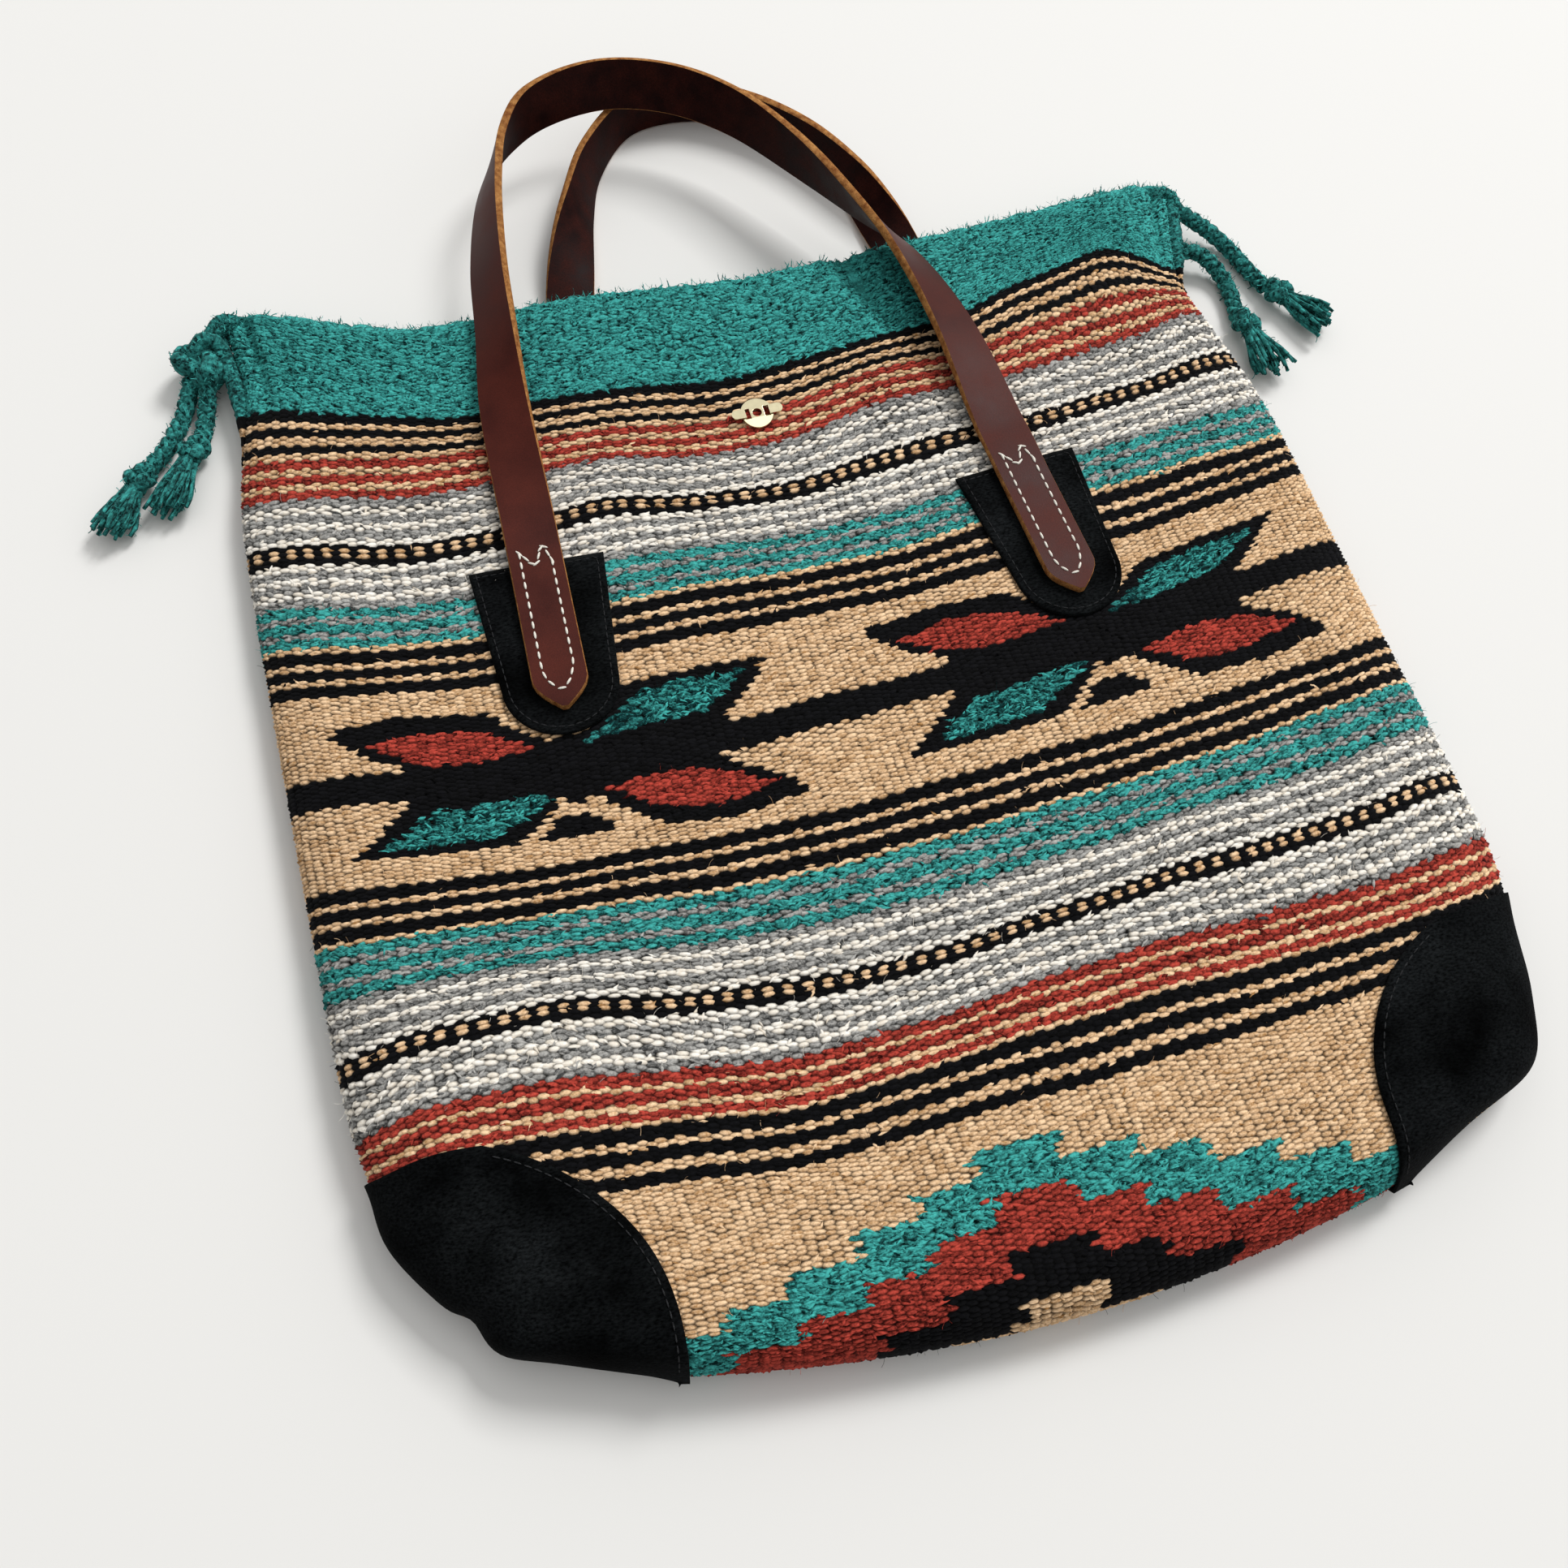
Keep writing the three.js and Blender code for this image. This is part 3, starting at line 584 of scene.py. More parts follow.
# Where the front sinks into the bag.
HOLLOWS = pulls(
    (-0.74, 330, 0.14, 60, -2.4), (0.18, 262, 0.16, 34, -1.6), (0.74, 205, 0.14, 60, -2.0),
    (-0.34, 120, 0.22, 34, -1.8), (0.20, 330, 0.14, 36, -2.0), (0.66, 420, 0.16, 30, -2.2),
    (-0.62, 430, 0.16, 30, -2.2), (-0.03, 374, 0.05, 7, -1.2))
# Where a whole edge by a seam is drawn along and pushed in or out.
TUCKS = pulls(
    (-1.0, 50, 0.35, 26, 3.0, 6.0), (-1.0, 88, 0.18, 24, 0.0, 4.0), (-1.0, 33, 0.10, 4, 1.6, 1.6),
    (-1.0, 24, 0.12, 6, -2.0, -2.0), (-1.0, 104, 0.09, 34, -6.0, 0.0), (-1.0, 415, 0.20, 34, 0.0, 9.0),
    (-1.0, 454, 0.14, 30, 5.0, 0.0), (1.0, 68, 0.30, 26, -2.2, -7.6), (1.0, 27, 0.30, 12, -4.6, 4.6),
    (1.0, 396, 0.22, 52, 0.0, -15.0), (1.0, 454, 0.20, 40, -2.0, 0.0))


@dataclass(frozen=True)
class Fold:
    """A crease pressed into the front, between two places along the row and up the bag."""

    start: Place
    end: Place
    width: float
    depth: float
    fade: float = 0.4  # how late along its length the crease begins to fade

    def dip(self, u: Array, v: Array) -> Array:
        """How deep the crease is at each place."""
        (x0, y0), (x1, y1) = self.start, self.end
        run = (x1 - x0) ** 2 + (y1 - y0) ** 2
        share = np.clip(((u - x0) * (x1 - x0) + (v - y0) * (y1 - y0)) / run, 0.0, 1.0)
        away = np.hypot(u - lerp(x0, x1, share), v - lerp(y0, y1, share))
        kept = 1 - smooth(share * (1 + self.fade) - self.fade)
        return self.depth * np.exp(-((away / self.width) ** 2)) * kept


FOLDS = (
    Fold((-216.0, 456.0), (-217.0, 385.0), 2.4, 5.0),
    Fold((216.0, 456.0), (217.0, 385.0), 2.4, 5.0),
    Fold((52.0, 458.0), (68.0, 395.0), 5.5, 5.0),
)


@dataclass
class Cloth:
    """The folded blanket as it lies: its plan, its heights and the arc lengths over its round edges."""

    width: float = 450.0
    length: float = 454.0
    base_width: float = 266.0
    corner_length: float = 93.0
    corner_power: float = 3.0
    base_bow: float = 15.0
    mouth_bow: float = 26.0
    base_sag_power: float = 1.9
    mouth_sag_power: float = 1.25
    mouth_tilt: float = 6.5
    base_tilt: float = 5.0
    mouth_shift: float = 7.0
    mouth_skew_power: float = 6.0
    base_skew_power: float = 3.0
    seam_height: float = 11.0
    belly_height: float = 29.0
    belly_start: float = 60.0
    mouth_flat: float = 114.0
    mouth_height: float = 19.5
    edge_round: float = 42.0
    base_round: float = 26.0
    seam_inset: float = 14.0
    base_inset: float = 12.0
    wall: float = 4.0
    patch_radius: float = 95.0
    # The width, height and bulge of the left and right patch.
    patch_shape: Points = ((1.0, 1.0, 0.055), (0.955, 1.06, 0.065))
    corner_stack: float = 2.4
    strap_stack: float = 5.6
    lift_end: float = 227.0
    lift_run: float = 24.0
    rib_height: float = 0.6
    lowest: float = -0.3  # the wool is pressed flat on what it lies on
    mean_drop: float = 14.0  # usual height of the round edges, for the arc lengths

    @property
    def half(self) -> float:
        """Half the cloth's width."""
        return self.width / 2

    def half_width(self, v: Array) -> Array:
        """Distance from the middle to the seam, narrower where the corners are tucked in."""
        rise = np.minimum(v / self.corner_length, 1.0)
        return lerp(self.base_width / 2, self.half, 1 - (1 - rise) ** self.corner_power)

    def near_mouth(self, v: Array) -> Array:
        """Share of the mouth's skew that a row has."""
        return (v / self.length) ** self.mouth_skew_power

    def column_x(self, s: Array, v: Array, grow: float = 0.0) -> Array:
        """Plan position across the bag."""
        return s * (self.half_width(v) + grow) + self.mouth_shift * self.near_mouth(v)

    def plain_row(self, s: Array, v: Array) -> Array:
        """Plan position up the bag, without the ripples."""
        share = v / self.length
        power = lerp(self.base_sag_power, self.mouth_sag_power, share)
        tilt = self.mouth_tilt * self.near_mouth(v) + self.base_tilt * (1 - share) ** self.base_skew_power
        bow = lerp(self.base_bow, self.mouth_bow, share)
        return v - self.length / 2 + bow * np.abs(s) ** power - tilt * s

    def row_y(self, s: Array, v: Array) -> Array:
        """Plan position up the bag, with the ripples."""
        y = self.plain_row(s, v)
        for ripple in RIPPLES:
            y = y + ripple.rise * ripple.share(s, v)
        return y

    def cloth_at(self, x: Array, y: Array) -> Pair:
        """Finds s and v under points of the plan, without the ripples."""
        v = y + self.length / 2
        s = x / self.half
        for _ in range(14):
            held = np.clip(v, 0.0, self.length)
            s = (x - self.mouth_shift * self.near_mouth(held)) / self.half_width(held)
            v = v + y - self.plain_row(s, held) + (held - v)
        return s, np.clip(v, 0.0, self.length)

    def fullness(self, s: Array, v: Array, inset: float = 0.0, base_inset: float = 0.0) -> Array:
        """How far the panels stand apart, 0 at the seams and 1 over the flat middle."""
        from_seam = (1 - np.abs(s)) * (self.half_width(v) - inset)
        from_base = v - base_inset
        return quarter_round(from_seam / self.edge_round) * quarter_round(from_base / self.base_round)

    def crown(self, v: Array) -> Array:
        """Height of the front over its flat middle."""
        fall = (v - self.belly_start) / (self.length - self.mouth_flat - self.belly_start)
        return lerp(self.belly_height, self.mouth_height, smooth(fall))

    def corner_reach(self, x: Array, y: Array, side: Array) -> Array:
        """Distance from a base corner, measured so that its patch's edge lies at one distance.

        Args:
            x: plan position across the bag.
            y: plan position up the bag, without the ripples.
            side: -1 for the left corner and 1 for the right.

        Returns:
            The distances, drawn in where the patch is wider, taller or fuller than a circle.
        """
        wide, tall, bulge = (np.where(side > 0, right, left) for left, right in zip(*self.patch_shape))
        across = wide * (self.half - np.abs(x))
        along = tall * (y - self.plain_row(side, np.zeros_like(side)))
        apart = np.maximum(across**2 + along**2, 0.01)
        return np.sqrt(apart) / (1 + bulge * 2 * across * along / apart)

    def rest(self, s: Array, v: Array) -> Array:
        """Height of the back, which climbs over the corner patches and the back strap."""
        reach = self.corner_reach(self.column_x(s, v), self.plain_row(s, v), np.sign(s))
        past = reach - self.patch_radius - self.edge_round
        over_corner = self.corner_stack * (1 - smooth(past / self.base_round))
        over_strap = self.strap_stack * smooth((v - self.lift_end) / self.lift_run + 1)
        return np.maximum(over_corner, over_strap)

    def height(self, s: Array, v: Array, panel: Panel) -> Array:
        """Height of a panel's outer face."""
        if panel is Panel.BACK:
            return lerp(self.seam_height, self.rest(s, v), self.fullness(s, v))
        far = self.crown(v)
        for hollow in HOLLOWS:
            far = far + hollow.rise * hollow.share(s, v)
        for fold in FOLDS:
            far = far - fold.dip(s * self.half_width(v), v)
        return lerp(self.seam_height, far, self.fullness(s, v))

    def outer(self, u: Array, v: Array, panel: Panel, grow: float = 0.0, rippled: bool = True) -> Array:
        """Points on a panel's outer face, from the distance along a row and up the bag."""
        v = np.clip(v, 0.0, self.length)
        s = np.clip(u / self.half_width(v), -1.0, 1.0)
        x = self.column_x(s, v, grow)
        y = self.row_y(s, v) if rippled else self.plain_row(s, v)
        for tuck in TUCKS:
            share = tuck.share(s, v)
            x = x + tuck.aside * share
            y = y + tuck.rise * share
        return np.stack([x, y, self.height(s, v, panel)], axis=-1)

    def normals(self, u: Array, v: Array, panel: Panel) -> Array:
        """Outward directions of a panel's outer face."""
        step = 0.6
        across = self.outer(u + step, v, panel) - self.outer(u - step, v, panel)
        along = self.outer(u, v + step, panel) - self.outer(u, v - step, panel)
        made = np.cross(across, along) * panel.value
        flat = np.linalg.norm(made, axis=-1) < 1e-6
        made[flat] = np.stack([np.sign(u), np.zeros_like(u), np.zeros_like(u)], axis=-1)[flat]
        return unit(made)

    def edge_outline(self, reach: float) -> Array:
        """The quarter ellipse in which an edge closes: distances from the edge, and drops."""
        turn = np.linspace(0.0, math.pi / 2, 60)
        return np.stack([reach * (1 - np.cos(turn)), self.mean_drop * np.sin(turn)], axis=1)

    def round_edge(self, arc: Array, total: float, reach: float) -> Array:
        """Distance from an edge, from the arc length over it."""
        outline = self.edge_outline(reach)
        lengths = np.append(run_lengths(outline), run_lengths(outline)[-1] + total)
        return np.interp(arc, lengths, np.append(outline[:, 0], reach + total))

    def extra_arc(self, reach: float) -> float:
        """How much longer the cloth is than its plan over one round edge."""
        return float(run_lengths(self.edge_outline(reach))[-1] - reach)


CLOTH = Cloth()


# The blanket


@dataclass
class Pattern:
    """The blanket's colours: weft stripes, dotted rows, a bar with leaves, and a stepped diamond."""

    pick: float = 0.95
    letters: str = "nkrtcgo"  # the yarns in their order, and a dotted row of black
    weft: str = (  # letters and picks from the mouth down
        "t52 k5n3k4n4k4n3 r4n3r4n3r4 g4c3g4c3g4c3 o8 c3g3c3g3c3g4 t4g3t4g3t4 n3k5n3k5n3k5n90"
        "k5n3k5n3k5n2 t4g3t5g3t4 g4c3g4c3g4c3 o8 c3g3c3g3c3g3 r4n2r4n3r4n2 k5n3k5n4k5n200")
    dot_picks: tuple[int, int] = (2, 5)
    bar_v: float = 236.8
    bar_half: float = 6.2
    motifs: Points = ((-119.0, 0.95, 0.0), (102.0, 1.05, 0.06))
    teal_leaf: Places = ((6.0, 8.5), (57.0, 11.0), (78.0, 26.0), (35.0, 24.5))
    red_leaf: Places = (
        (11.0, 10.0), (46.0, 7.5), (62.0, 10.5), (78.0, 18.5), (58.0, 23.5), (42.0, 24.0), (28.0, 20.0))
    teal_edge: Places = ((-2.0, 5.0), (62.0, 5.0), (91.0, 30.0), (28.0, 29.5))
    red_edge: Places = (
        (-2.0, 5.0), (58.0, 5.0), (76.0, 13.0), (90.0, 24.5), (88.0, 27.0), (60.0, 31.5), (30.0, 30.5))
    red_sag: float = 0.045  # how far the lower red leaf turns away from the bar
    beside_bar: float = 62.0  # how far out the red leaves' dark edges touch the bar
    teal_start: float = 11.0  # where the lower teal leaf begins
    heart: Place = (24.0, 15.0)
    kernel: Places = ((-20.0, -30.0), (13.0, -30.0), (3.0, -19.0), (-10.0, -19.0))
    diamond_x: float = -4.0
    diamond_top: float = 31.0
    diamond_step: Place = (24.5, 8.3)
    diamond_tiers: tuple[tuple[Yarn, float], ...] = (
        (Yarn.TEAL, 58.0), (Yarn.RED, 42.0), (Yarn.BLACK, 24.0), (Yarn.TAN, 8.5))
    ragged: float = 2.6  # how far a shape's edge strays from pick to pick
    seed: int = 5

    def draft(self) -> Pair:
        """The yarn of each pick from the mouth down, and its place in a dotted row or -1."""
        yarns, places = [], []
        for letter, picks in re.findall(r"([a-z])(\d+)", self.weft):
            count = int(picks)
            dotted = letter == self.letters[-1]
            yarns += [Yarn.BLACK if dotted else self.letters.index(letter)] * count
            places += range(count) if dotted else [-1] * count
        return np.array(yarns), np.array(places)

    def yarns(self, u: Array, v: Array, column: Array) -> Array:
        """The yarn that shows at each bead.

        Args:
            u: distance along the row from the middle.
            v: distance from the base fold.
            column: number of the warp end under the bead.

        Returns:
            Yarn numbers.
        """
        draft, dots = self.draft()
        picks = np.clip(np.round((CLOTH.length - v) / self.pick).astype(int), 0, len(draft) - 1)
        found = draft[picks].copy()
        place = dots[picks]
        dot = (place >= self.dot_picks[0]) & (place <= self.dot_picks[1]) & (column % 2 == 0)
        found[dot] = Yarn.TAN
        stray = np.random.default_rng(self.seed).uniform(-self.ragged, self.ragged, len(draft))
        self.add_bar(found, u, v - self.bar_v)
        self.add_diamond(found, u + stray[picks // 2 * 2], v)
        return found

    def add_bar(self, found: Array, u: Array, rise: Array) -> None:
        """Lays the bar and its leaf motifs over the tan field."""
        found[np.abs(rise) < self.bar_half] = Yarn.BLACK
        for centre, size, upper_sag in self.motifs:
            side = (u - centre) / size
            out, far = np.abs(side), np.abs(rise)
            alike = (side > 0) == (rise > 0)
            sagged = far - out * np.where(rise < 0, self.red_sag, upper_sag)
            beside = inside(self.red_edge, out, far) & (out < self.beside_bar)
            red_edge = inside(self.red_edge, out, sagged) | beside
            edge = np.where(alike, inside(self.teal_edge, out, far), red_edge)
            found[edge | (out / self.heart[0] + far / self.heart[1] < 1.0)] = Yarn.BLACK
            started = (rise > 0) | (out > self.teal_start)
            found[inside(self.teal_leaf, out, far) & alike & started] = Yarn.TEAL
            found[inside(self.red_leaf, out, sagged) & ~alike] = Yarn.RED
            found[inside(self.kernel, side, rise)] = Yarn.BLACK

    def add_diamond(self, found: Array, u: Array, v: Array) -> None:
        """Lays the stepped diamond over the tan field at the base fold."""
        out = np.abs(u - self.diamond_x) - self.diamond_top / 2
        drop = np.maximum(np.ceil(out / self.diamond_step[0]), 0.0) * self.diamond_step[1]
        for yarn, top in self.diamond_tiers:
            found[v < top - drop] = yarn


@dataclass
class Blanket:
    """The woven body: two panels of beaded weave, the inside of the pocket, the lip and the selvages."""

    finishes: Finishes
    warp: float = 3.58  # between warp ends
    bead: Place = (2.85, 1.4)  # half the length and half the height of a bead
    bead_ridge: float = 0.95  # half the length of its crest
    bead_sides: int = 8
    bead_growth: Place = (0.06, 0.03)  # how far beads differ in size, and how much larger unruly ones are
    crest: float = 0.62
    crest_spread: float = 0.16
    hollow: float = 0.66
    wander: float = 0.14
    tilt: float = 0.05  # how far a bead may turn from its row
    column_sway: Points = ((0.42, 19.0, 0.4), (0.26, 7.3, -0.7))  # size, period, lag by column
    row_sway: Points = ((0.5, 23.0, 31.0), (0.34, 9.0, -17.0))  # size, periods across and along
    pick_spread: float = 0.16  # how unevenly the picks are beaten up
    plump: tuple[float, ...] = (1.0, 0.9, 0.95, 0.95, 1.2, 0.8)  # height of each yarn's beads
    loose: tuple[float, ...] = (1.7, 1.6, 1.5, 4.2, 2.0, 2.6)  # how unruly each yarn is
    wisps: tuple[float, ...] = (0.15, 0.2, 0.7, 2.6, 0.5, 0.9)  # wisps on each bead of a yarn
    wisp: Place = (2.2, 0.62)
    wisp_stray: Point = (1.5, 0.7, 0.5)  # across, along and in its turn
    wisp_lift: Place = (0.5, 1.15)
    lip_bulge: float = 2.3
    lip_turn: Place = (-35.0, 190.0)  # degrees over which the lip rolls
    lip_wide: float = 1.16
    lip_steps: int = 9
    inside_columns: int = 64
    inside_pick: float = 1.9
    selvage_v: Place = (386.0, 452.0)
    selvage_radius: float = 3.7
    selvage_out: Places = ((1.0, 4.2), (1.8, 3.0))  # left and right, low and high
    selvage_rise: Place = (45.0, 30.0)  # over which it moves out and swells
    selvage_dark: float = 0.5
    leaf_dark: float = 0.8  # how much duller the leaves' teal is
    leaf_reach: float = 40.0
    seed: int = 7
    pattern: Pattern = field(default_factory=Pattern)

    def plan(self, across: Array, along: Array) -> Pair:
        """Turns lengths measured on the cloth into distances along the row and up the bag."""
        from_seam = CLOTH.half + CLOTH.extra_arc(CLOTH.edge_round) - np.abs(across)
        inset = CLOTH.round_edge(np.maximum(from_seam, 0.0), CLOTH.half, CLOTH.edge_round)
        u = np.sign(across) * (CLOTH.half - inset)
        v = CLOTH.round_edge(np.maximum(along, 0.0), CLOTH.length, CLOTH.base_round)
        v = np.minimum(v, CLOTH.length)
        return np.clip(u, -CLOTH.half_width(v), CLOTH.half_width(v)), v

    def places(self, draw: np.random.Generator, i: Array, j: Array, yarn: Array) -> Pair:
        """Where the beads lie on the cloth, with the unevenness of hand weaving.

        Args:
            draw: source of chance.
            i: each bead's column.
            j: each bead's pick.
            yarn: each bead's yarn.

        Returns:
            Distances across and along the cloth.
        """
        last = int(j.max())
        beat = 1 + draw.normal(0.0, self.pick_spread, last).clip(-0.4, 0.4)
        rise = np.concatenate([[0.0], np.cumsum(beat)]) * self.pattern.pick * last / beat.sum()
        unruly = np.array(self.loose)[yarn] * self.wander
        along = rise[j]
        across = i * self.warp + draw.normal(0.0, 1.0, i.shape) * unruly
        for size, period, lag in self.column_sway:
            across = across + size * np.sin(along / period + i * lag)
        drift = sum(size * np.sin(across / wide + along / tall) for size, wide, tall in self.row_sway)
        within = (j > 0) & (j < last)
        return across, along + within * (drift + draw.normal(0.0, 0.3, i.shape) * unruly)

    def beads(self, panel: Panel) -> tuple[Array, ...]:
        """Pick, yarn and place of every bead of a panel."""
        arc_width = CLOTH.width + 2 * CLOTH.extra_arc(CLOTH.edge_round)
        arc_length = CLOTH.length + CLOTH.extra_arc(CLOTH.base_round)
        columns = int(arc_width / 2 / self.warp)
        picks = np.arange(int(arc_length / self.pattern.pick) + 1)
        grid_i, grid_j = np.meshgrid(np.arange(-columns, columns + 1), picks, indexing="ij")
        used = (grid_i + grid_j) % 2 == 0
        i, j = grid_i[used], grid_j[used]
        yarn = self.pattern.yarns(*self.plan(i * self.warp, j * self.pattern.pick), i)
        return j, yarn, *self.places(np.random.default_rng(self.seed - panel.value), i, j, yarn)

    def covered(self, u: Array, v: Array, panel: Panel) -> Array:
        """Which places lie under a suede patch, as 1 or 0."""
        x, y, _ = np.moveaxis(CLOTH.outer(u, v, panel, rippled=False), -1, 0)
        under = CLOTH.corner_reach(x, y, np.sign(u)) < CLOTH.patch_radius
        for ends in STRAP_ENDS:
            if ends.panel is panel:
                under |= ends.under(x, y)
        return under.astype(float)

    def set_down(self, panel: Panel, across: Array, along: Array, turn: Array,
                 shape: tuple[Array, ...]) -> Array:
        """Points of small mounds on a panel's face.

        Args:
            panel: which panel they lie on.
            across: each mound's place across the cloth.
            along: each mound's place along the cloth.
            turn: how far each is turned, in a column.
            shape: each mound's points along its own row, over it, and off the cloth.

        Returns:
            The points, mound by mound.
        """
        x, y, lift = shape
        u, v = self.plan((across[:, None] + x * np.cos(turn) - y * np.sin(turn)).ravel(),
                         (along[:, None] + x * np.sin(turn) + y * np.cos(turn)).ravel())
        points = CLOTH.outer(u, v, panel) + CLOTH.normals(u, v, panel) * lift.ravel()[:, None]
        points[:, 2] = np.maximum(points[:, 2], CLOTH.lowest)
        return points.reshape(len(across), -1, 3)

    def mounds(self, name: str, panel: Panel, points: Array, faces: list[tuple[int, int, int]],
               wool: tuple[Array, ...]) -> Mesh:
        """A mesh of many like mounds.

        Args:
            name: name of the mesh.
            panel: which panel they lie on.
            points: their points, mound by mound.
            faces: the faces of one mound.
            wool: the yarn and shade of each mound, and the depth of each point.

        Returns:
            The mesh, with what the wool finish reads.
        """
        ways = np.array(faces)[:, :: panel.value]
        start = np.arange(len(points))[:, None, None] * points.shape[1]
        mesh = make_mesh(name, points, (ways[None] + start).reshape(-1, 3))
        yarn, shade, depth = wool
        set_wool(mesh, np.repeat(yarn, len(faces)), np.repeat(shade, len(faces)), depth.ravel())
        return mesh

    def weave(self, name: str, panel: Panel) -> list[Mesh]:
        """One panel as a skin of overlapping beads, each a low mound over one warp end.

        Args:
            name: start of the meshes' names.
            panel: which panel it is.

        Returns:
            The lower and the upper half.
        """
        draw = np.random.default_rng(self.seed + panel.value)
        j, yarn, across, along = self.beads(panel)
        unruly = np.array(self.loose)[yarn][:, None]
        count = len(j)
        turn = draw.normal(0.0, self.tilt, (count, 1)) * unruly
        differ, swell = self.bead_growth
        grow = 1 + draw.normal(0.0, differ, (count, 2)) * np.sqrt(unruly) + swell * (unruly - 1)
        ring = np.linspace(0.0, 2 * math.pi, self.bead_sides, endpoint=False)
        x = np.concatenate([self.bead[0] * np.cos(ring), [-self.bead_ridge, self.bead_ridge]]) * grow[:, :1]
        y = np.concatenate([self.bead[1] * np.sin(ring), [0.0, 0.0]]) * grow[:, 1:]
        lift = np.full(x.shape, -self.hollow)
        tall = (1 + draw.normal(0.0, self.crest_spread, count)).clip(0.6, 1.3)
        crest = self.crest * np.array(self.plump)[yarn] * tall
        lift[:, -2:] = crest[:, None] * draw.uniform(0.75, 1.0, (count, 2))
        points = self.set_down(panel, across, along, turn, (x, y, lift))
        place_u, place_v = self.plan(across, along)
        leaf = (yarn == Yarn.TEAL) & (np.abs(place_v - self.pattern.bar_v) < self.leaf_reach)
        shade = draw.random(count) - self.leaf_dark * leaf
        covered = self.covered(place_u, place_v, panel)
        faces = self.bead_faces()
        lower = j < int(j.max()) // 2
        meshes = []
        for half, chosen in (("lower", lower), ("upper", ~lower)):
            # Depth is 1 on a bead's crest and 0 on its rim, where the finish paints shade.
            wool = yarn[chosen], shade[chosen], (lift[chosen] > 0.0).astype(float)
            mesh = self.mounds(f"{name}_{half}", panel, points[chosen], faces, wool)
            set_attribute(mesh, "covered", "FACE", np.repeat(covered[chosen], len(faces)))
            meshes.append(mesh)
        return meshes

    def flecks(self, name: str, panel: Panel) -> Mesh:
        """Short wisps of loose yarn that lie every way over the fluffier stripes."""
        draw = np.random.default_rng(self.seed + 20 + panel.value)
        _, yarn, across, along = self.beads(panel)
        number = np.floor(np.array(self.wisps)[yarn] + draw.random(len(yarn))).astype(int)
        number = number * (self.covered(*self.plan(across, along), panel) < 0.5)
        yarn, across, along = (np.repeat(values, number) for values in (yarn, across, along))
        count = len(yarn)
        across = across + draw.normal(0.0, self.wisp_stray[0], count)
        along = along + draw.normal(0.0, self.wisp_stray[1], count)
        turn = draw.normal(0.0, self.wisp_stray[2], (count, 1))
        size = draw.uniform(0.6, 1.25, (count, 1))
        x = self.wisp[0] * size * np.array([-1.0, 0.0, 1.0, 0.0, 0.0])
        y = self.wisp[1] * size * np.array([0.0, -1.0, 0.0, 1.0, 0.0])
        lift = np.full(x.shape, -0.1)
        lift[:, 4] = draw.uniform(*self.wisp_lift, count)
        points = self.set_down(panel, across, along, turn, (x, y, lift))
        # The wisps' rims get a lower depth, so the finish paints shade there.
        depth = np.tile([0.45, 0.45, 0.45, 0.45, 1.0], count)
        wool = yarn, draw.uniform(-0.7, 1.5, count), depth
        return self.mounds(name, panel, points, [(0, 1, 4), (1, 2, 4), (2, 3, 4), (3, 0, 4)], wool)

    def bead_faces(self) -> list[tuple[int, int, int]]:
        """Triangles of one bead, from its rim to the two ends of its crest."""
        left, right = self.bead_sides, self.bead_sides + 1
        quarter = self.bead_sides // 4
        faces = [(right, left, 3 * quarter), (left, right, quarter)]
        for k in range(self.bead_sides):
            end = left if quarter <= k < 3 * quarter else right
            faces.append((k, (k + 1) % self.bead_sides, end))
        return faces

    def inner(self, s: Array, v: Array, panel: Panel) -> Array:
        """Points on the inside of the pocket."""
        far = CLOTH.crown(v) - CLOTH.wall if panel is Panel.FRONT else CLOTH.rest(s, v) + CLOTH.wall
        full = CLOTH.fullness(s, v, CLOTH.seam_inset, CLOTH.base_inset)
        x = CLOTH.column_x(s, v, -CLOTH.seam_inset)
        return np.stack([x, CLOTH.row_y(s, v), lerp(CLOTH.seam_height, far, full)], axis=-1)

    def loop(self, places: Array) -> Pair:
        """A closed loop of places, out along the front and home along the back, and which are in front."""
        s = np.concatenate([places, places[-2:0:-1]])
        return s, np.arange(len(s)) < len(places)

    def both(self, shape: Callable, s: Array, v: Array, front: Array) -> Array:
        """Points of a closed loop whose front and back halves lie on the two panels."""
        return np.where(front[:, None], shape(s, v, Panel.FRONT), shape(s, v, Panel.BACK))

    def pocket(self, name: str) -> Mesh:
        """The inside of the pocket."""
        draw = np.random.default_rng(self.seed)
        s, front = self.loop(np.sin(np.linspace(-math.pi / 2, math.pi / 2, self.inside_columns + 1)))
        rows = int((CLOTH.length - CLOTH.base_inset) / self.inside_pick)
        levels = np.linspace(CLOTH.base_inset, CLOTH.length, rows)
        points = np.vstack([self.both(self.inner, s, np.full(s.shape, v), front) for v in levels])
        faces = [face[::-1] for face in grid_faces(rows, len(s), closed=True)]
        mesh = make_mesh(name, points, faces)
        level = np.repeat(levels, len(s))
        width = np.tile(s, rows) * CLOTH.half_width(level)
        yarn = self.pattern.yarns(width, level, np.round(width / self.warp).astype(int))
        set_wool(mesh, yarn[[face[0] for face in faces]], draw.random(len(faces)),
                 draw.uniform(0.3, 0.9, len(points)))
        return mesh

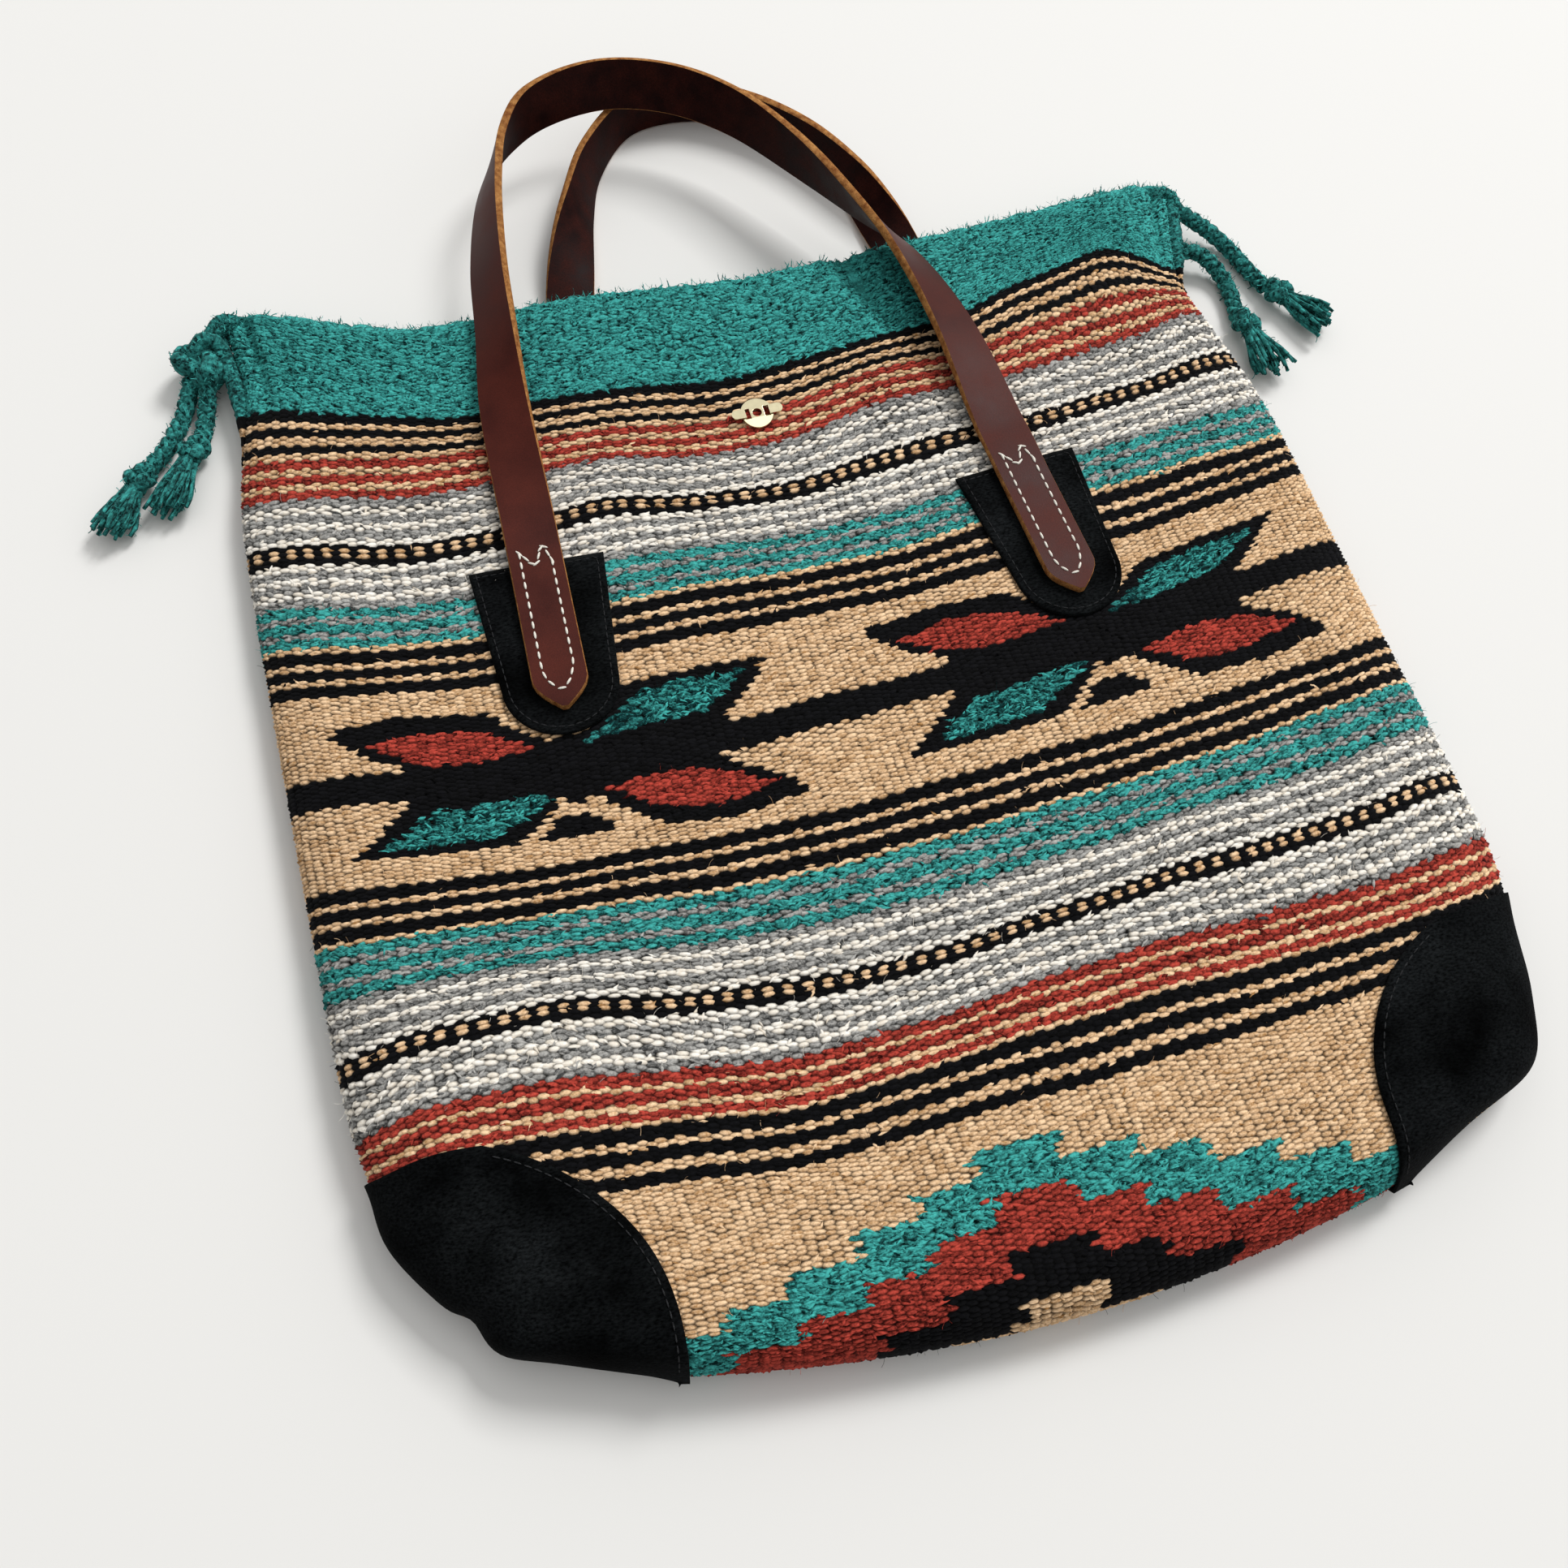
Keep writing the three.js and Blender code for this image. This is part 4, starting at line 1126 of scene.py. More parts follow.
    def lip(self, name: str) -> Mesh:
        """The mouth's rolled edge, with a loop of weft round every warp end."""
        draw = np.random.default_rng(self.seed + 2)
        s, front = self.loop(np.linspace(-1.0, 1.0, int(CLOTH.width / self.warp * 3) + 1))
        rim = np.full(s.shape, CLOTH.length)
        across = s * CLOTH.half_width(rim)
        inner = self.both(self.inner, s, rim, front)
        outer = self.both(lambda t, v, panel: CLOTH.outer(t * CLOTH.half_width(v), v, panel), s, rim, front)
        loop = np.abs(np.sin(math.pi * across / self.warp))
        chance = np.interp(np.arange(len(s)) / 2.0, np.arange(len(s)), draw.normal(0.0, 0.3, len(s)))
        bulge = self.lip_bulge * (0.55 + 0.6 * loop + chance)
        rings = []
        for turn in np.linspace(*np.radians(self.lip_turn), self.lip_steps):
            ring = (outer + inner) / 2 + (outer - inner) / 2 * math.cos(turn) * self.lip_wide
            ring[:, 1] += bulge * math.sin(turn)
            rings.append(ring)
        mesh = make_mesh(name, np.vstack(rings), grid_faces(len(rings), len(s), closed=True))
        count = len(mesh.polygons)
        # Lower depth between the loops, where the finish paints shade.
        depth = np.tile(0.35 + 0.6 * loop, len(rings))
        set_wool(mesh, np.full(count, Yarn.TEAL), draw.random(count), depth)
        return mesh

    def selvage(self, name: str, side: int) -> Mesh:
        """The rolled selvage that stands up along the seam under one end of the mouth."""
        draw = np.random.default_rng(self.seed + side)
        v = np.linspace(*self.selvage_v, 70)
        u = np.full(v.shape, side * CLOTH.half)
        line = CLOTH.outer(u, v, Panel.FRONT)
        out, swell = (smooth((v - self.selvage_v[0]) / rise) for rise in self.selvage_rise)
        line[:, 0] += side * lerp(*self.selvage_out[side > 0], out)
        line[:, 2] -= 1.0
        radius = self.selvage_radius * swell * (1 + draw.normal(0.0, 0.06, v.shape))
        points, faces = tube(line, np.maximum(radius, 0.3), 14, 0)
        points = points + draw.normal(0.0, 0.16, points.shape)
        mesh = make_mesh(name, points, faces)
        centre = np.array([face.center.y for face in mesh.polygons]) / MM - ORIGIN[1]
        level = np.interp(centre, line[:, 1], v)
        yarn = self.pattern.yarns(np.full_like(level, u[0]), level, np.zeros(len(level), int))
        shade = draw.random(len(yarn)) - self.selvage_dark
        set_wool(mesh, yarn, shade, draw.uniform(0.2, 0.9, len(points)))
        return mesh

    def build(self) -> list[Object]:
        """Makes the woven pieces and their loose fibres."""
        front = self.weave("wool_front", Panel.FRONT)
        back = self.weave("wool_back", Panel.BACK)
        lip = self.lip("wool_lip")
        rolls = [self.selvage("selvage_left", -1), self.selvage("selvage_right", 1)]
        meshes = [*front, *back, self.pocket("wool_inside"), lip, *rolls]
        meshes += [self.flecks("wool_front_wisps", Panel.FRONT), self.flecks("wool_back_wisps", Panel.BACK)]
        tufts = Fuzz(1800, length=3.0, thick=0.42)
        meshes.append(tufts.grow("wool_lip_tufts", lip, self.finishes.wool))
        lower, upper = front
        for mesh, count, only in ((lower, 2200, -1), (upper, 1800, -1), (upper, 3200, Yarn.TEAL),
                                  (lower, 700, Yarn.TEAL), (lower, 700, Yarn.CREAM),
                                  (lower, 700, Yarn.BLACK), (upper, 500, Yarn.BLACK), (lip, 2600, -1)):
            label = "all" if only < 0 else Yarn(only).name.lower()
            meshes.append(Fuzz(count, only).grow(f"{mesh.name}_fuzz_{label}", mesh, self.finishes.wool))
        return [add_piece(mesh, [self.finishes.wool], "wool", "wool_body") for mesh in meshes]


@dataclass
class Fuzz:
    """Loose fibres that stand off a woolly surface, on every yarn or on one alone."""

    count: int
    only: int = -1
    length: float = 4.0
    thick: float = 0.12
    bow: Points = ((0.0, 0.0, -0.1), (0.05, 0.1, 0.45), (0.4, 0.0, 0.75))
    lean: float = 1.2  # the most that a fibre leans, in radians
    sizes: Place = (0.4, 1.3)  # shares of the length
    seed: int = 3

    def tree(self) -> NodeTree:
        """Geometry Nodes that strew bent fibres over the bare faces of the chosen yarn."""
        tree, given = new_tree("loose_fibres", {
            "Density": "Float", "Length": "Float", "Thick": "Float", "Only": "Float", "Seed": "Int",
            "Finish": "Material"})
        yarn, covered = (
            add_node(tree, "GeometryNodeInputNamedAttribute", {"Name": label}, data_type="FLOAT")
            for label in ("yarn", "covered"))
        same = add_node(tree, "ShaderNodeMath", {0: yarn, 1: given["Only"], 2: 0.5}, operation="COMPARE")
        every = add_node(tree, "ShaderNodeMath", {0: given["Only"], 1: 0.0}, operation="LESS_THAN")
        chosen = add_node(tree, "ShaderNodeMath", {0: same, 1: every}, operation="ADD")
        bare = add_node(tree, "ShaderNodeMath", {0: covered, 1: 0.5}, operation="LESS_THAN")
        chosen = add_node(tree, "ShaderNodeMath", {0: chosen, 1: bare}, operation="MULTIPLY")
        strewn = add_node(tree, "GeometryNodeDistributePointsOnFaces", {
            "Mesh": given["Geometry"], "Density": given["Density"], "Seed": given["Seed"],
            "Selection": chosen})
        bow = add_node(tree, "GeometryNodeCurveQuadraticBezier", {
            "Resolution": 2, **dict(zip(("Start", "Middle", "End"), self.bow))})
        slim = add_node(tree, "ShaderNodeMath", {0: given["Thick"], 1: given["Length"]}, operation="DIVIDE")
        slim = add_node(tree, "ShaderNodeMath", {0: slim, 1: 0.5}, operation="MULTIPLY")
        section = add_node(tree, "GeometryNodeCurvePrimitiveCircle", {"Resolution": 3, "Radius": slim})
        fibre = add_node(tree, "GeometryNodeCurveToMesh", {
            "Curve": bow, "Profile Curve": section, "Fill Caps": True})
        turn = add_node(tree, "FunctionNodeRandomValue", {
            "Min": (-self.lean, -self.lean, 0.0), "Max": (self.lean, self.lean, 2 * math.pi),
            "Seed": given["Seed"]}, data_type="FLOAT_VECTOR")
        tilt = add_node(tree, "FunctionNodeRotateRotation", {
            "Rotation": strewn.outputs["Rotation"], "Rotate By": turn}, rotation_space="LOCAL")
        least, most = self.sizes
        size = add_node(tree, "FunctionNodeRandomValue", {2: least, 3: most, "Seed": given["Seed"]})
        size = add_node(tree, "ShaderNodeMath", {0: size.outputs[1], 1: given["Length"]},
                        operation="MULTIPLY")
        placed = add_node(tree, "GeometryNodeInstanceOnPoints", {
            "Points": strewn, "Instance": fibre, "Rotation": tilt, "Scale": size})
        real = add_node(tree, "GeometryNodeRealizeInstances", {"Geometry": placed})
        deep = add_node(tree, "GeometryNodeStoreNamedAttribute", {
            "Geometry": real, "Name": "depth", "Value": 1.0}, data_type="FLOAT", domain="POINT")
        return end_tree(tree, deep, given["Finish"])

    def grow(self, name: str, host: Mesh, finish: Material) -> Mesh:
        """Strews the fibres over a mesh.

        Args:
            name: name of the new mesh.
            host: the woolly surface.
            finish: the fibres' material.

        Returns:
            The fibres' mesh.
        """
        spans = np.zeros(len(host.polygons), np.float32)
        host.polygons.foreach_get("area", spans)
        if self.only >= 0:
            yarn = np.zeros(len(host.polygons), np.float32)
            host.attributes["yarn"].data.foreach_get("value", yarn)
            spans = spans[yarn == self.only]
        return evaluated_mesh(name, host, self.tree(), {
            "Density": self.count / float(spans.sum()), "Length": self.length * MM,
            "Thick": self.thick * MM, "Only": float(self.only), "Seed": self.seed, "Finish": finish})


# Sewing


@dataclass
class StitchRun:
    """A run of plump stitches along a line."""

    pitch: float = 4.5
    length: float = 3.5
    thick: float = 1.05

    def tree(self) -> NodeTree:
        """Geometry Nodes that set one stitch on each step of a line."""
        tree, given = new_tree("stitch_run", {
            "Pitch": "Float", "Length": "Float", "Thick": "Float", "Finish": "Material"})
        line = add_node(tree, "GeometryNodeMeshToCurve", {"Mesh": given["Geometry"]})
        steps = add_node(tree, "GeometryNodeResampleCurve", {"Curve": line, "Length": given["Pitch"]},
                         mode="LENGTH")
        way = add_node(tree, "GeometryNodeInputTangent")
        turned = add_node(tree, "FunctionNodeAlignRotationToVector", {"Vector": way}, axis="Z")
        bead = add_node(tree, "GeometryNodeMeshUVSphere", {"Segments": 8, "Rings": 6, "Radius": 0.5})
        soft = add_node(tree, "GeometryNodeSetShadeSmooth", {"Geometry": bead})
        size = add_node(tree, "ShaderNodeCombineXYZ", {
            "X": given["Thick"], "Y": given["Thick"], "Z": given["Length"]})
        placed = add_node(tree, "GeometryNodeInstanceOnPoints", {
            "Points": steps, "Instance": soft, "Rotation": turned, "Scale": size})
        real = add_node(tree, "GeometryNodeRealizeInstances", {"Geometry": placed})
        return end_tree(tree, real, given["Finish"])

    def sew(self, name: str, lines: list[Array], finish: Material, slot: str) -> Object:
        """Sews along lines of points and adds the stitches as one piece."""
        points, edges = [], []
        for line in lines:
            start = len(points)
            points.extend(line)
            edges.extend((start + k, start + k + 1) for k in range(len(line) - 1))
        path = bpy.data.meshes.new(name + "_line")
        path.from_pydata(((np.array(points) + ORIGIN) * MM).tolist(), edges, [])
        made = evaluated_mesh(name, path, self.tree(), {
            "Pitch": self.pitch * MM, "Length": self.length * MM, "Thick": self.thick * MM,
            "Finish": finish})
        return add_piece(made, [finish], slot)


# Suede


@dataclass
class SuedeSheet:
    """A cut sheet of suede laid over the wool: two faces joined round a softly rolled edge."""

    thick: float = 1.5
    edge: float = 1.4
    edge_sink: float = 0.8  # share of the thickness by which the edge rolls in

    def mesh(self, name: str, top: Array, out: Array, from_edge: Array) -> Mesh:
        """Builds the sheet from a grid of its upper face.

        Args:
            name: name of the mesh.
            top: points of the upper face, rows by columns.
            out: outward directions there.
            from_edge: distance from the cut edge.

        Returns:
            The closed mesh.
        """
        rows, columns = top.shape[:2]
        sink = self.thick * self.edge_sink * (1 - quarter_round(from_edge / self.edge))
        upper = top - out * sink[..., None]
        lower = top - out * self.thick
        count = rows * columns
        faces = grid_faces(rows, columns)
        faces += [tuple(k + count for k in face[::-1]) for face in grid_faces(rows, columns)]
        rim = list(range(columns))
        rim += [r * columns + columns - 1 for r in range(1, rows)]
        rim += [(rows - 1) * columns + c for c in range(columns - 2, -1, -1)]
        rim += [r * columns for r in range(rows - 2, 0, -1)]
        faces += [(b, a, a + count, b + count) for a, b in zip(rim, rim[1:] + rim[:1])]
        return make_mesh(name, np.stack([upper, lower]), faces)


SUEDE = SuedeSheet()


@dataclass
class CornerPatch:
    """A round patch of suede folded over one corner of the base."""

    name: str
    side: int
    finishes: Finishes
    ease: float = 0.9
    rows: int = 64
    columns: int = 34
    row_power: float = 1.4  # rows stand closer towards the base
    skin: float = 1.1  # thickness of the folded sheet
    edge_sink: float = 0.75  # share of the suede's thickness by which the cut edge rolls in
    dent: float = 1.3
    dent_waves: Places = ((15.0, 1.3), (13.0, 0.4))  # period and shift, across and along
    dent_edge: float = 16.0  # towards the cut edge the dents fade out over this distance
    stitch_inset: float = 3.0
    stitch_steps: int = 120

    @property
    def grow(self) -> float:
        """How far the patch's face stands off the wool."""
        return self.ease + SUEDE.thick

    def reach(self, x: Array, y: Array) -> Array:
        """Distance from this patch's corner."""
        return CLOTH.corner_reach(x, y, np.full_like(x, float(self.side)))

    def edge_u(self, v: Array, radius: float) -> Array:
        """Distance along each row at which a round edge of some radius crosses it."""
        low, high = np.zeros_like(v), CLOTH.half_width(v)
        for _ in range(30):
            middle = (low + high) / 2
            s = self.side * middle / CLOTH.half_width(v)
            out = self.reach(CLOTH.column_x(s, v), CLOTH.plain_row(s, v)) > radius
            low, high = np.where(out, middle, low), np.where(out, high, middle)
        return high

    def top_v(self, radius: float) -> float:
        """How far up the seam a round edge of some radius reaches."""
        levels = np.linspace(0.0, 2 * CLOTH.patch_radius, 400)
        seam_y = CLOTH.plain_row(np.full_like(levels, float(self.side)), levels)
        return float(levels[self.reach(self.side * CLOTH.half_width(levels), seam_y) <= radius].max())

    def sheet(self) -> Mesh:
        """The folded sheet, front and back in one, joined at the seam and at the base fold."""
        radius = CLOTH.patch_radius
        v = self.top_v(radius) * np.linspace(0.0, 1.0, self.rows) ** self.row_power
        start = self.edge_u(v, radius)
        bend = np.sin(np.linspace(0.0, math.pi / 2, self.columns))
        u = self.side * lerp(start[:, None], CLOTH.half_width(v)[:, None], bend[None, :])
        level = np.repeat(v[:, None], self.columns, axis=1)
        full = CLOTH.fullness(np.clip(u / CLOTH.half_width(level), -1.0, 1.0), level)
        halves = {}
        for panel in Panel:
            points = CLOTH.outer(u, level, panel, self.grow, rippled=False)
            points[..., 2] += panel.value * self.grow * full
            points[..., 1] -= self.grow * (1 - quarter_round(level / CLOTH.base_round))
            halves[panel] = points
        grid = np.concatenate([halves[Panel.FRONT], halves[Panel.BACK][:, -2::-1]], axis=1)
        grid = grid[:, :: self.side]
        inward = radius - self.reach(grid[..., 0], grid[..., 1])
        out = unit(np.cross(np.gradient(grid, axis=1), np.gradient(grid, axis=0)))
        sink = SUEDE.thick * self.edge_sink * (1 - quarter_round(inward / SUEDE.edge))
        across, along = (
            np.sin(grid[..., k] / period + shift) for k, (period, shift) in enumerate(self.dent_waves))
        dent = self.dent * (0.5 + 0.5 * across * along) * smooth(inward / self.dent_edge)
        upper = grid - out * (np.clip(sink, 0.0, None) + dent)[..., None]
        return make_mesh(self.name + "_suede", upper, grid_faces(*grid.shape[:2]))

    def build(self) -> list[Object]:
        """Makes the patch and its dark stitching."""
        patch = add_piece(self.sheet(), [self.finishes.suede], "suede", self.name)
        thick = patch.modifiers.new("thickness", "SOLIDIFY")
        thick.thickness = self.skin * MM
        thick.offset = -1.0
        inset = CLOTH.patch_radius - self.stitch_inset
        v = np.linspace(2.0, self.top_v(inset) - 2.0, self.stitch_steps)
        u = self.side * self.edge_u(v, inset)
        lines = []
        for panel in Panel:
            line = CLOTH.outer(u, v, panel, self.grow, rippled=False)
            line[:, 2] += panel.value * (self.grow + 0.1)
            lines.append(line)
        thread = StitchRun(3.6, 2.9, 0.6)
        return [patch, thread.sew(self.name + "_stitches", lines, self.finishes.black_thread, "suede")]


# Straps


@dataclass
class StrapEnds:
    """Where one strap's two ends are sewn on."""

    panel: Panel
    centre: float
    lean: float
    spacing: float = 217.0
    foot_y: float = 26.0
    cover: Place = (80.0, 27.0)  # length and half width of the wool that the suede hides

    @property
    def turn(self) -> Place:
        """Cosine and sine of the lean."""
        return math.cos(math.radians(self.lean)), math.sin(math.radians(self.lean))

    def plan(self, side: int, across: Array, along: Array) -> Pair:
        """Turns places measured across and along one end into the bag's plan."""
        cos, sin = self.turn
        x = self.centre + side * self.spacing / 2 - side * along * sin + across * cos
        return x, self.foot_y + along * cos + side * across * sin

    def under(self, x: Array, y: Array) -> Array:
        """Which places of the plan the two tongues of suede cover."""
        cos, sin = self.turn
        found = np.zeros_like(x, dtype=bool)
        for side in (-1, 1):
            dx, dy = x - self.centre - side * self.spacing / 2, y - self.foot_y
            along, across = dy * cos - side * dx * sin, dx * cos + side * dy * sin
            found |= (along > 0.0) & (along < self.cover[0]) & (np.abs(across) < self.cover[1])
        return found

    def seat(self, x: Array, y: Array, gap: float = 0.3) -> Array:
        """Height of the patch's face against the wool."""
        if self.panel is Panel.BACK:
            return np.full_like(x, CLOTH.strap_stack - gap)
        s, v = CLOTH.cloth_at(x, y)
        return CLOTH.height(s, v, Panel.FRONT) + CLOTH.rib_height + gap


STRAP_ENDS = (StrapEnds(Panel.FRONT, -7.5, 3.0), StrapEnds(Panel.BACK, 12.0, 8.0))


@dataclass
class StrapPatch:
    """A tongue of suede under one end of a strap."""

    name: str
    ends: StrapEnds
    side: int
    finishes: Finishes
    height: float = 79.0
    top_width: float = 55.0
    foot_width: float = 46.0
    rows: int = 40
    columns: int = 27
    row_power: float = 1.5  # rows stand closer towards the foot
    stitch_inset: float = 2.8

    def half_width(self, along: Array, inset: float = 0.0) -> Array:
        """Half the tongue's width at a distance from its round foot."""
        radius = self.foot_width / 2
        foot = (radius - inset) * quarter_round((along - inset) / (radius - inset))
        taper = lerp(radius, self.top_width / 2, (along - radius) / (self.height - radius)) - inset
        return np.where(along < radius, foot, taper)

    def laid(self, across: Array, along: Array, lift: float) -> Array:
        """Points over the wool, from places across and along the tongue."""
        x, y = self.ends.plan(self.side, across, along)
        return np.stack([x, y, self.ends.seat(x, y) + self.ends.panel.value * lift], axis=-1)

    def build(self) -> list[Object]:
        """Makes the tongue and its dark stitching."""
        face = self.ends.panel.value
        along = self.height * np.linspace(0.0, 1.0, self.rows) ** self.row_power
        along[0] = 0.02
        spread = np.sin(np.linspace(-math.pi / 2, math.pi / 2, self.columns))
        half = self.half_width(along)
        across = half[:, None] * spread[None, :]
        level = np.repeat(along[:, None], self.columns, axis=1)
        top = self.laid(across, level, SUEDE.thick)
        out = np.zeros_like(top)
        out[..., 2] = face
        radius = self.foot_width / 2
        to_foot = radius - np.hypot(across, level - radius)
        to_side = np.where(level < radius, to_foot, half[:, None] - np.abs(across))
        from_edge = np.maximum(np.minimum(to_side, self.height - level), 0.0)
        if face < 0:
            top, out, from_edge = top[:, ::-1], out[:, ::-1], from_edge[:, ::-1]
        mesh = SUEDE.mesh(self.name + "_suede", top, out, from_edge)
        patch = add_piece(mesh, [self.finishes.suede], "suede", self.name)
        inset = self.stitch_inset
        run = np.linspace(self.height - inset, inset, 90)
        left = np.stack([-self.half_width(run, inset), run], axis=1)
        line = np.vstack([left, left[::-1] * (-1.0, 1.0), left[:1]])
        thread = self.laid(*line.T, SUEDE.thick + 0.05)
        stitches = StitchRun(3.4, 2.8, 0.55).sew(
            self.name + "_stitches", [thread], self.finishes.black_thread, "suede")
        return [patch, stitches]


FRONT_LOOP = (
    (-108.0, -48.0, 20.0), (-103.5, -12.0, 40.0), (-98.6, 26.5, 48.0), (-89.5, 65.0, 62.0),
    (-79.0, 88.0, 80.0), (-61.0, 106.0, 104.0), (-28.0, 115.0, 119.0), (2.5, 107.0, 118.0),
    (28.0, 87.0, 110.0), (50.8, 53.5, 94.0), (68.0, 20.5, 70.0), (82.0, -7.0, 44.0), (91.8, -47.5, 22.0),
)
BACK_LOOP = (
    (-76.0, -60.0, 180.0), (-66.5, 14.0, 180.0), (-59.0, 42.0, 150.0), (-50.0, 67.0, 122.0),
    (-37.5, 93.0, 106.0), (-13.0, 117.0, 94.0), (20.0, 119.0, 90.0), (44.0, 107.0, 90.0),
    (65.5, 85.0, 94.0), (79.5, 56.5, 110.0), (86.8, 31.0, 136.0), (92.0, 12.0, 168.0),
    (101.0, -60.0, 180.0),
)


@dataclass
class Strap:
    """A leather carrying strap with raw edges and a stitched box at each end.

    The loop's stations are x, rise over the middle of the mouth, and roll in degrees.
    """

    name: str
    ends: StrapEnds
    loop: Points
    finishes: Finishes
    width: float = 22.0
    thick: float = 3.5
    point: float = 13.0
    point_width: float = 3.0
    tip_setback: float = 10.0
    sewn: float = 86.0
    sewn_steps: int = 3
    patch_stack: float = 1.8
    gap: float = 0.3
    sections: int = 260
    edge_points: int = 5
    face_points: int = 7
    edge_crown: float = 0.45
    stitch_inset: float = 4.8
    stitch_foot: float = 7.0
    stitch_top: float = 70.0

    def rest_height(self, roll: Array) -> Array:
        """Height of the rolled strap's middle over what it rests on."""
        turn = np.radians(roll)
        return (self.width * np.abs(np.sin(turn)) + self.thick * np.abs(np.cos(turn))) / 2

    def stations(self) -> Array:
        """x, y, seat height and roll of every station from one tip to the other."""
        front = self.ends.panel is Panel.FRONT
        flat = 0.0 if front else 180.0
        sewn = []
        for side in (-1, 1):
            along = self.tip_setback + self.sewn * np.linspace(0.0, 1.0, self.sewn_steps + 1)
            x, y = self.ends.plan(side, np.zeros_like(along), along)
            seat = self.ends.seat(x, y) + self.patch_stack if front else np.zeros_like(x)
            sewn.append(np.stack([x, y, seat, np.full_like(x, flat)], axis=1))
        level = CLOTH.mouth_height + CLOTH.rib_height + self.patch_stack + self.gap if front else 0.0
        loop = np.array([(x, CLOTH.length / 2 + rise, level, roll) for x, rise, roll in self.loop])
        return np.vstack([sewn[0], loop, sewn[1][::-1]])

    def line(self) -> tuple[Array, ...]:
        """The strap's middle line with its directions.

        Returns:
            Centres, outward normals, directions across, and distances from the first tip.
        """
        stations = self.stations()
        seats = catmull_rom(stations[:, :3], 24, True)
        rolls = catmull_rom(stations[:, 3:], 24, False)
        joined = resample(np.hstack([seats, rolls]), self.sections)
        seats, rolls = joined[:, :3], joined[:, 3]
        tangent = unit(np.gradient(seats, axis=0))
        centre = seats.copy()
        centre[:, 2] += self.rest_height(rolls)
        turn = np.radians(rolls)[:, None]
        outward = unit(np.cross([0.0, 0.0, 1.0], tangent))
        up = unit(np.cross(tangent, outward))
        normal = up * np.cos(turn) + outward * np.sin(turn)
        return centre, normal, unit(np.cross(tangent, normal)), run_lengths(seats)

    def half_width(self, from_tip: Array) -> Array:
        """Half the strap's width at a distance from the nearer tip."""
        share = np.clip(from_tip / self.point, 0.0, 1.0)
        return lerp(self.point_width, self.width, np.sin(share * math.pi / 2)) / 2

    def section(self) -> tuple[Array, Array, list[int]]:
        """Outline of the strap: places across and through it, and which finish each side has."""
        thick = self.thick / 2
        bend = np.linspace(-math.pi / 2, math.pi / 2, self.edge_points)
        edge_in = self.edge_crown * (np.cos(bend) - 1.0)
        edge_up = thick * np.sin(bend)
        flat = self.face_points
        face = np.linspace(1.0, -1.0, flat + 2)[1:-1]
        rim = np.ones(self.edge_points)
        across = np.concatenate([rim, face, -rim, -face])
        inset = np.concatenate([edge_in, np.zeros(flat), -edge_in[::-1], np.zeros(flat)])
        through = np.concatenate([edge_up, np.full(flat, thick), edge_up[::-1], np.full(flat, -thick)])
        edge = [1] * (self.edge_points - 1)
        sides = edge + [0] * (flat + 1) + edge + [2] * (flat + 1)
        return np.stack([across, inset], axis=1), through, sides

    def ribbon(self) -> Mesh:
        """The strap's body, closed at both tips."""
        centre, normal, side, lengths = self.line()
        half = self.half_width(np.minimum(lengths, lengths[-1] - lengths))
        shape, through, sides = self.section()
        across = half[:, None] * shape[None, :, 0] + shape[None, :, 1]
        points = centre[:, None] + side[:, None] * across[..., None]
        points = points + normal[:, None] * through[None, :, None]
        rows, columns = points.shape[:2]
        faces = [face[::-1] for face in grid_faces(rows, columns, closed=True)]
        finish = [sides[k % columns] for k in range(len(faces))]
        faces += [tuple(range(columns)), tuple(range((rows - 1) * columns, rows * columns))[::-1]]
        finish += [1, 1]
        mesh = make_mesh(self.name + "_leather", points, faces)
        mesh.polygons.foreach_set("material_index", finish)
        mesh.set_sharp_from_angle(angle=math.radians(50.0))
        return mesh

    def stitch_lines(self) -> list[list[Array]]:
        """The stitching on both ends: round the sides and the point, and the zigzag that closes the top."""
        edge = self.width / 2 - self.stitch_inset
        foot, top = self.stitch_foot, self.stitch_top
        outline = [(-edge, top), (-edge, foot + 9.0), (-edge * 0.7, foot + 4.0), (edge * 0.15, foot),
                   (edge * 0.6, foot + 4.0), (edge, foot + 10.0), (edge, top - 5.0)]
        zigzag = [(-edge, top + 1.0), (-edge * 0.1, top - 6.0), (edge * 0.55, top + 4.0), (edge, top - 4.0)]
        centre, normal, side, lengths = self.line()
        runs = []
        for corners in (outline, zigzag):
            dense = resample(np.array(corners), 120).T
            lines = []
            for across, along in (dense, (-dense[0], lengths[-1] - dense[1])):
                middle, aside, out = (
                    np.stack([np.interp(along, lengths, way[:, k]) for k in range(3)], axis=1)
                    for way in (centre, side, normal))
                lines.append(middle + aside * across[:, None] + out * (self.thick / 2 + 0.12))
            runs.append(lines)
        return runs

    def build(self) -> list[Object]:
        """Makes the strap and its stitches."""
        finishes = [self.finishes.strap_face, self.finishes.raw_edge, self.finishes.strap_inside]
        strap = add_piece(self.ribbon(), finishes, "leather", self.name)
        box, zigzag = self.stitch_lines()
        thread = self.finishes.white_thread
        return [strap, StitchRun().sew(self.name + "_stitches", box, thread, "leather"),
                StitchRun(3.3, 3.7, 1.0).sew(self.name + "_zigzag", zigzag, thread, "leather")]


# Snap


